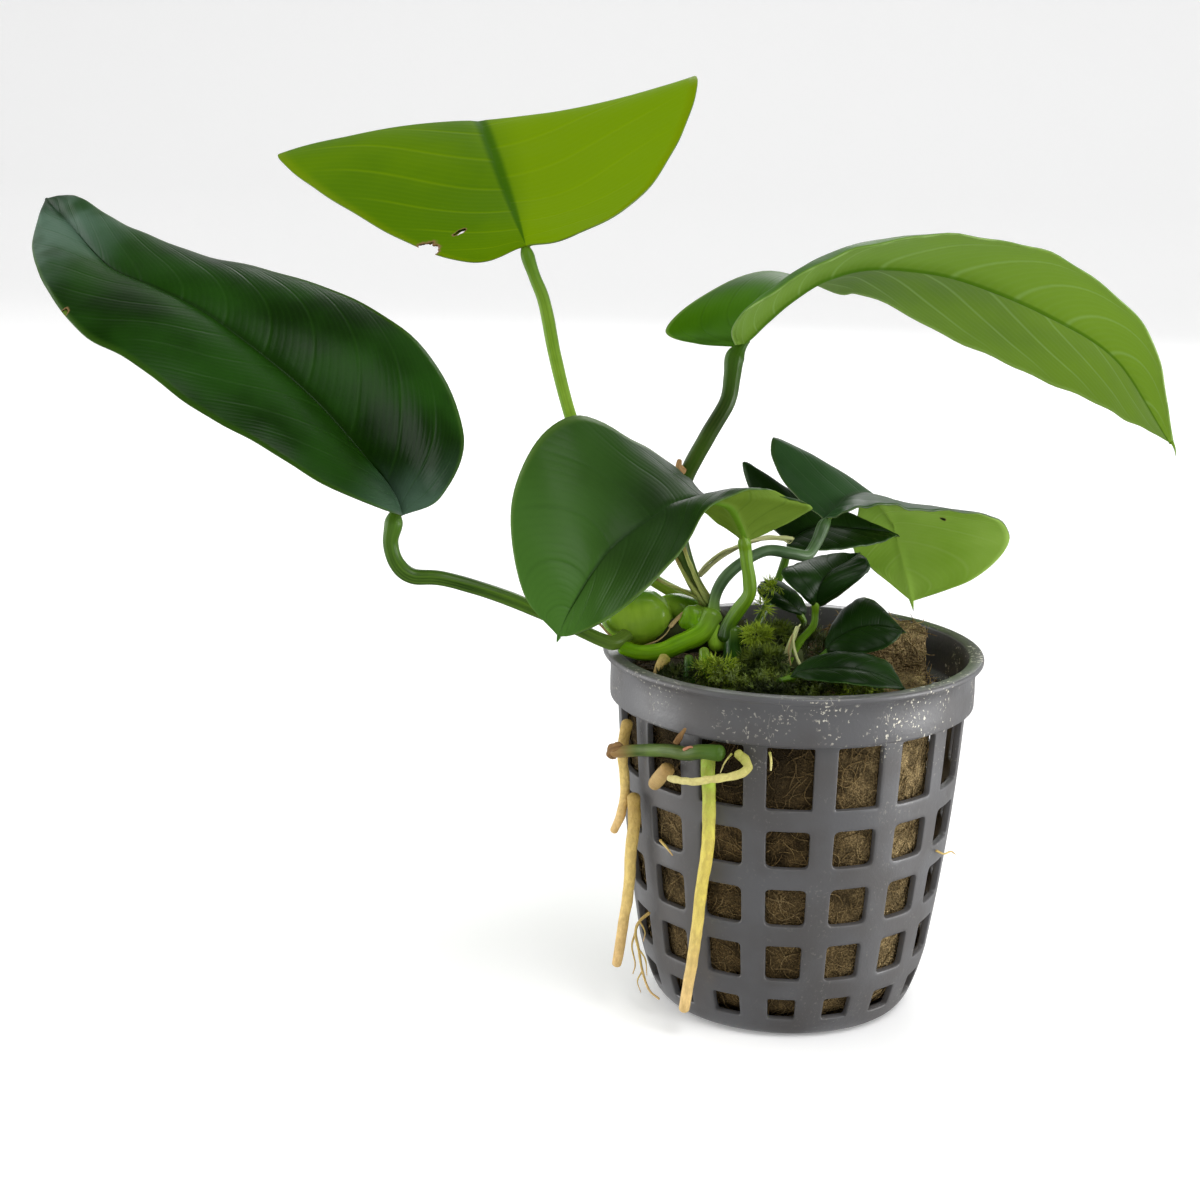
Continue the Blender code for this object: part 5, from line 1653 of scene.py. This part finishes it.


# --- Skins ---

# Skins of the blades: deep, light, veins, margin, roughness, share of the vein colour, shine, the colours
# that the far half (across) and the tip (along) drift to, midrib. The half and tip colours are painted light:
# light falling on and shining through one half, and a painted sheen towards the tip.
BLADE_SKINS = {
    "top_glossy": (None, None, (0.02, 0.07, 0.006), (0.05, 0.12, 0.01), 0.32, 0.14, 0.07, None, None,
                   (0.006, 0.026, 0.001)),
    "top_deep": ((0.004, 0.015, 0.001), (0.01, 0.034, 0.003), (0.012, 0.045, 0.003), (0.1, 0.18, 0.03),
                 0.36, 0.12, 0.09, None, (0.06, 0.16, 0.02), (0.008, 0.03, 0.002)),
    "top_fresh": ((0.025, 0.09, 0), (0.045, 0.14, 0), (0.02, 0.07, 0), (0.22, 0.36, 0.06),
                  0.5, 0.25, 0.08, None, (0.12, 0.24, 0.008), (0.02, 0.07, 0)),
    "top_shade": ((0.022, 0.06, 0.018), (0.036, 0.088, 0.03), (0.06, 0.1, 0.05), (0.06, 0.12, 0.03),
                  0.42, 0.12, 0.06, None, None, (0.07, 0.11, 0.06)),
    "top_small": ((0.003, 0.012, 0.001), (0.008, 0.028, 0.003), (0.003, 0.012, 0.001), (0.02, 0.06, 0.01),
                  0.34, 0.2, 0.11, None, None, (0.002, 0.009, 0)),
    "under_dull": ((0.07, 0.125, 0.006), (0.1, 0.165, 0.014), (0.04, 0.09, 0.003), (0.2, 0.32, 0.05),
                   0.55, 0.25, 0.1, None, None, (0.07, 0.17, 0.004)),
    "yellow_green": (None, (0.085, 0.175, 0), (0.17, 0.28, 0), (0.16, 0.23, 0), 0.6, 0.3, 0.02,
                     None, None, (0.018, 0.08, 0)),
    "under_fresh": ((0.07, 0.155, 0.004), (0.118, 0.225, 0.014), (0.24, 0.38, 0.1), (0.24, 0.38, 0.06),
                    0.55, 0.42, 0.06, (0.17, 0.3, 0.04), (0.17, 0.3, 0.016), (0.05, 0.14, 0)),
    "under_pale": ((0.2, 0.36, 0.03), (0.26, 0.43, 0.06), (0.3, 0.46, 0.1), (0.34, 0.5, 0.12),
                   0.55, 0.25, 0.08, None, None, (0.24, 0.4, 0.05)),
}
# Colours of the thin rims between the faces, by the skin above them.
RIMS = {
    "plain": ((0.03, 0.08, 0.01), (0.08, 0.16, 0.03)),
    "yellow_green": ((0.06, 0.13, 0), (0.1, 0.18, 0)),
    "top_fresh": ((0.14, 0.26, 0.03), (0.26, 0.4, 0.1)),
    "top_shade": ((0.04, 0.08, 0.02), (0.1, 0.16, 0.05)),
}
# Skins of the stalks: deep, light, streaks, roughness, colours of the foot and the top.
STALK_SKINS = {
    "petiole_deep": ((0.014, 0.045, 0.001), (0.04, 0.1, 0.004), (0.11, 0.21, 0.018), 0.36,
                     ((0.1, 0.16, 0.02), (0.06, 0.14, 0.01))),
    "petiole_fresh": ((0.13, 0.26, 0.008), (0.22, 0.36, 0.03), (0.06, 0.14, 0.003), 0.38,
                      ((0.13, 0.18, 0.012), (0.06, 0.15, 0.002))),
    "petiole_right": ((0.012, 0.035, 0.001), (0.03, 0.075, 0.004), (0.05, 0.07, 0.01), 0.36,
                      ((0.34, 0.36, 0.08), (0.05, 0.13, 0.006))),
    "petiole_middle": ((0.06, 0.15, 0.002), (0.13, 0.25, 0.008), (0.03, 0.08, 0.002), 0.36,
                       ((0.012, 0.04, 0.002), (0.12, 0.22, 0.01))),
    "petiole_young": ((0.03, 0.085, 0.004), (0.07, 0.15, 0.012), (0.02, 0.06, 0.002), 0.36,
                      ((0.26, 0.42, 0.08), (0.02, 0.06, 0.01))),
    # Painted sheen: this stalk's pale bluish grey stands for the highlights along it.
    "petiole_frosted": ((0.04, 0.085, 0.03), (0.1, 0.17, 0.075), (0.02, 0.05, 0.012), 0.34,
                        ((0.26, 0.48, 0.02), (0.05, 0.1, 0.03))),
    "olive": ((0.26, 0.3, 0.05), (0.42, 0.46, 0.14), (0.04, 0.05, 0.008), 0.6,
              ((0.14, 0.1, 0.02), (0.1, 0.14, 0.02))),
    "sheath": ((0.4, 0.46, 0.18), (0.62, 0.62, 0.36), (0.25, 0.2, 0.08), 0.7, None),
    # Painted shade: the near-black lumps under the crown, between the stalks.
    "core": ((0.006, 0.012, 0.002), (0.03, 0.05, 0.006), (0.05, 0.04, 0.015), 0.8, None),
    "membrane": ((0.34, 0.24, 0.09), (0.55, 0.42, 0.2), (0.14, 0.08, 0.03), 0.7, None),
    "scar": ((0.2, 0.11, 0.04), (0.4, 0.24, 0.1), (0.08, 0.04, 0.015), 0.8, None),
    "stem": ((0.03, 0.06, 0.01), (0.08, 0.15, 0.02), (0.12, 0.16, 0.03), 0.4,
             ((0.3, 0.17, 0.06), (0.05, 0.11, 0.01))),
    "base_bright": ((0.1, 0.24, 0.004), (0.19, 0.36, 0.012), (0.03, 0.09, 0.002), 0.3,
                    ((0.03, 0.09, 0.002), (0.1, 0.17, 0.01))),
    "base_dark": ((0.01, 0.045, 0.001), (0.035, 0.11, 0.004), (0.006, 0.02, 0.001), 0.3,
                  ((0.006, 0.02, 0.001), (0.06, 0.12, 0.01))),
    "pink": ((0.5, 0.22, 0.13), (0.66, 0.36, 0.22), (0.3, 0.12, 0.06), 0.6, None),
}
# Skins of the roots: start, middle, end, marks, with None for a colour from the settings.
ROOT_SKINS = {
    "root_tan": ((0.5, 0.34, 0.08), None, (0.8, 0.54, 0.22), None),
    "root_green_to_tan": ((0.26, 0.42, 0.02), (0.76, 0.64, 0.11), (0.86, 0.6, 0.24), None),
    "root_pale": ((0.34, 0.36, 0.05), (0.68, 0.62, 0.2), (0.75, 0.68, 0.28), (0.4, 0.3, 0.1)),
    "root_cut": ((0.42, 0.26, 0.08), (0.56, 0.38, 0.14), (0.5, 0.33, 0.12), None),
    "root_bud": ((0.3, 0.3, 0.04), (0.55, 0.42, 0.12), (0.62, 0.42, 0.16), None),
}


def blade_skins(settings):
    """The skins of all blades and their margins, by name."""
    skins = {name: list(values) for name, values in BLADE_SKINS.items()}
    skins["top_glossy"][:2] = settings.dark_green, settings.middle_green
    skins["yellow_green"][0], skins["yellow_green"][7] = settings.fresh_green, settings.yellow_green
    return {name: (blade_material(name, *values), margin_material(name)) for name, values in skins.items()}


def stalk_skins(*names):
    """The named skins of stalks and scraps."""
    return {name: stalk_material(f"{name}_skin", *STALK_SKINS[name]) for name in names}


def crown_skins(settings):
    """The skins of the crown, by name."""
    skins = stalk_skins("core", "membrane", "scar", "olive", "sheath", "stem", "base_bright", "base_dark")
    skins["bulb"] = stalk_material("bulb_green", settings.bulb_green, settings.bulb_light, (0.05, 0.15, 0.0),
                                   0.24, ((0.34, 0.48, 0.01), (0.05, 0.15, 0.0)), 0.22)
    skins["neck"] = stalk_material("neck_green", (0.1, 0.26, 0.0), (0.22, 0.42, 0.01), (0.04, 0.12, 0.0),
                                   0.28, ((0.1, 0.24, 0.0), (0.12, 0.22, 0.02)))
    return skins


def root_skins(settings):
    """The skins of the roots, by name."""
    skins = stalk_skins("scar", "pink")
    for name, (start, middle, end, marks) in ROOT_SKINS.items():
        skins[name] = root_material(name, start, middle or settings.root_tan, end,
                                    marks or settings.root_dark)
    return skins


# --- Operators ---


class ANUBIAS_OT_studio(bpy.types.Operator):
    """Set up the pale floor, the backdrop, the soft lights and the camera"""
    bl_idname = "anubias.studio"
    bl_label = "Studio"

    def execute(self, context):
        settings = context.scene.anubias_studio
        add_floor(floor_material(settings.floor_colour))
        add_sky(settings)
        for name, (place, size, share) in LIGHTS.items():
            add_light(name, place, size, settings.key_power * share)
        lens = bpy.data.cameras.new("studio_camera")
        lens.lens = settings.lens
        lens.sensor_width = 36.0
        lens.clip_start = 0.01
        camera = linked("studio_camera", lens)
        camera.matrix_world = camera_matrix()
        context.scene.camera = camera
        context.scene.view_settings.view_transform = "Standard"
        return {"FINISHED"}


class ANUBIAS_OT_net_pot(bpy.types.Operator):
    """Build the net pot with its windows, collar, lip and slotted foot"""
    bl_idname = "anubias.net_pot"
    bl_label = "Net pot"

    def execute(self, context):
        settings = context.scene.anubias_pot
        material = plastic_material("pot_plastic_grey", settings.plastic, settings.plastic_shade,
                                    settings.lime)
        pot = geometry_result(pot_sector(), "repeat_around", "net_pot_wall", count=settings.sectors,
                              weld_distance=0.00003, material=material)
        finished = bmesh.new()
        finished.from_mesh(pot.data)
        bmesh.ops.recalc_face_normals(finished, faces=finished.faces)
        finished.to_mesh(pot.data)
        finished.free()
        pot.data.shade_smooth()
        finish_piece(pot, "pot_plastic", "net_pot")
        return {"FINISHED"}


class ANUBIAS_OT_rockwool(bpy.types.Operator):
    """Build the rockwool plug with its wrap and its loose fibres"""
    bl_idname = "anubias.rockwool"
    bl_label = "Rockwool"

    def execute(self, context):
        settings = context.scene.anubias_pot
        wool = (settings.wool_dark, settings.wool_middle, settings.wool_light)
        lump = plug_mesh()
        add_wrap(lump)
        bmesh.ops.recalc_face_normals(lump, faces=lump.faces)
        body = made_item("rockwool_body", lump,
                         [rockwool_material("rockwool_matted", *wool, settings.wool_dried)])
        skin = rockwool_material("rockwool_fibre", *wool[1:], FIBRE_TAN, settings.wool_dried)
        surface = linked("rockwool_surface", body.data.copy())
        fibres = scattered(surface, "rockwool_fibres", fibre_shapes(skin), skin, lift=0.00003, seed=5,
                           density=settings.fibre_density, smallest=0.5, largest=1.1, lean=0.22)
        finish_piece(body, "rockwool", "rockwool_plug")
        finish_piece(fibres, "rockwool")
        return {"FINISHED"}


class ANUBIAS_OT_leaves(bpy.types.Operator):
    """Build the leaf blades"""
    bl_idname = "anubias.leaves"
    bl_label = "Leaf blades"

    def execute(self, context):
        settings = context.scene.anubias_leaves
        skins = blade_skins(settings)
        for index, name in enumerate(BLADES):
            above, beneath = BLADE_MAKES[name][-2:]
            item = blade_mesh(name, [skins[above][0], skins[beneath][0], skins[above][1]],
                              settings.seed + 1.7 * index)
            item.name = name + "_blade"
            finish_piece(item, "leaf_fresh" if name in FRESH_BLADES else "leaf_dark", name)
        return {"FINISHED"}


class ANUBIAS_OT_petioles(bpy.types.Operator):
    """Build the leaf stalks and the dry sheaths"""
    bl_idname = "anubias.petioles"
    bl_label = "Leaf stalks"

    def execute(self, context):
        skins = stalk_skins(*(name for name in STALK_SKINS if name.startswith("petiole")), "sheath")
        for name, (skin, *_) in PETIOLES.items():
            finish_piece(petiole_piece(name, skins[skin]), "petiole", name)
        for name in SHEATHS:
            finish_piece(stalk_piece(name, skins["sheath"], 0.3, 1.0), "dry_sheath", name)
        return {"FINISHED"}


class ANUBIAS_OT_crown(bpy.types.Operator):
    """Build the rhizome, the growing tip, the bases of old leaves and the scraps that cling to them"""
    bl_idname = "anubias.crown"
    bl_label = "Crown"

    def execute(self, context):
        skins = crown_skins(context.scene.anubias_crown)
        for name, shape in SWELLINGS.items():
            finish_piece(swelling_piece(name + "_skin", *shape, skins["bulb"]), "rhizome", name)
        for name, (skin, near, far) in CROWN_PIECES.items():
            item = stalk_piece(name, skins[skin], 0.10, 0.5, far, near, 32)
            if name == "rhizome":
                necks = [swelling_piece(f"neck_{index}", centre, halves, turn, skins[skin], 4, 0.3)
                         for index, (centre, halves, turn, skin) in enumerate(NECKS)]
                item = merge_items("rhizome_skin", [item, *necks])
            finish_piece(item, "rhizome", name)
        finish_piece(scrap_pieces(CROWN_SCRAPS, skins, "membrane_and_scales"), "dry_sheath")
        return {"FINISHED"}


class ANUBIAS_OT_roots(bpy.types.Operator):
    """Build the roots"""
    bl_idname = "anubias.roots"
    bl_label = "Roots"

    def execute(self, context):
        skins = root_skins(context.scene.anubias_crown)
        for name, (skin, lumps, scale, far) in ROOTS.items():
            finish_piece(stalk_piece(name, skins[skin], lumps, scale, far), "root", name)
        finish_piece(scrap_pieces(FINE_ROOTS, skins, "fine_roots"), "root")
        return {"FINISHED"}


class ANUBIAS_OT_moss(bpy.types.Operator):
    """Grow the moss on the crown"""
    bl_idname = "anubias.moss"
    bl_label = "Moss"

    def execute(self, context):
        settings = context.scene.anubias_moss
        deep, bright = np.array(settings.deep), np.array(settings.bright)
        # The dark tone, old moss at half its brightness, is painted shade.
        tones = {"bright": (bright * 0.5, bright), "deep": (deep, bright * 0.45),
                 "dark": (deep * 0.5, bright * 0.2)}
        skins = {tone: moss_material(f"moss_{tone}", *pair) for tone, pair in tones.items()}
        parts = []
        for index, (centre, halves, density, skin, kind) in enumerate(MOSS_BEDS):
            parts.append(scattered(
                moss_bed(centre, halves), f"moss_{index}", moss_shapes(kind, skins[skin]), skins[skin],
                density=density * 1e6 * settings.density, smallest=0.7, largest=1.3, lean=0.8, lift=-0.0003,
                seed=settings.seed + index))
        finish_piece(merge_items("moss_cushions", parts), "rhizome")
        return {"FINISHED"}


# --- Panel and registration ---

OPERATORS = (
    ANUBIAS_OT_studio, ANUBIAS_OT_net_pot, ANUBIAS_OT_rockwool, ANUBIAS_OT_leaves, ANUBIAS_OT_petioles,
    ANUBIAS_OT_crown, ANUBIAS_OT_roots, ANUBIAS_OT_moss,
)


class ANUBIAS_PT_builder(bpy.types.Panel):
    """Lists the builders of the potted anubias and their settings"""
    bl_idname = "ANUBIAS_PT_builder"
    bl_label = "Potted anubias"
    bl_space_type = "VIEW_3D"
    bl_region_type = "UI"
    bl_category = "Anubias"

    def draw(self, context):
        layout = self.layout
        for operator in OPERATORS:
            layout.operator(operator.bl_idname)
        for key, group in SETTINGS.items():
            box = layout.box()
            for setting in group.__annotations__:
                box.prop(getattr(context.scene, key), setting)


CLASSES = (*SETTINGS.values(), *OPERATORS, ANUBIAS_PT_builder)


def register():
    for made in CLASSES:
        bpy.utils.register_class(made)
    for key, group in SETTINGS.items():
        setattr(bpy.types.Scene, key, bpy.props.PointerProperty(type=group))


def unregister():
    for key in SETTINGS:
        delattr(bpy.types.Scene, key)
    for made in reversed(CLASSES):
        bpy.utils.unregister_class(made)


def main():
    register()
    bpy.ops.anubias.studio()
    bpy.ops.anubias.net_pot()
    bpy.ops.anubias.rockwool()
    bpy.ops.anubias.leaves()
    bpy.ops.anubias.petioles()
    bpy.ops.anubias.crown()
    bpy.ops.anubias.roots()
    bpy.ops.anubias.moss()


if __name__ == "__main__":
    main()
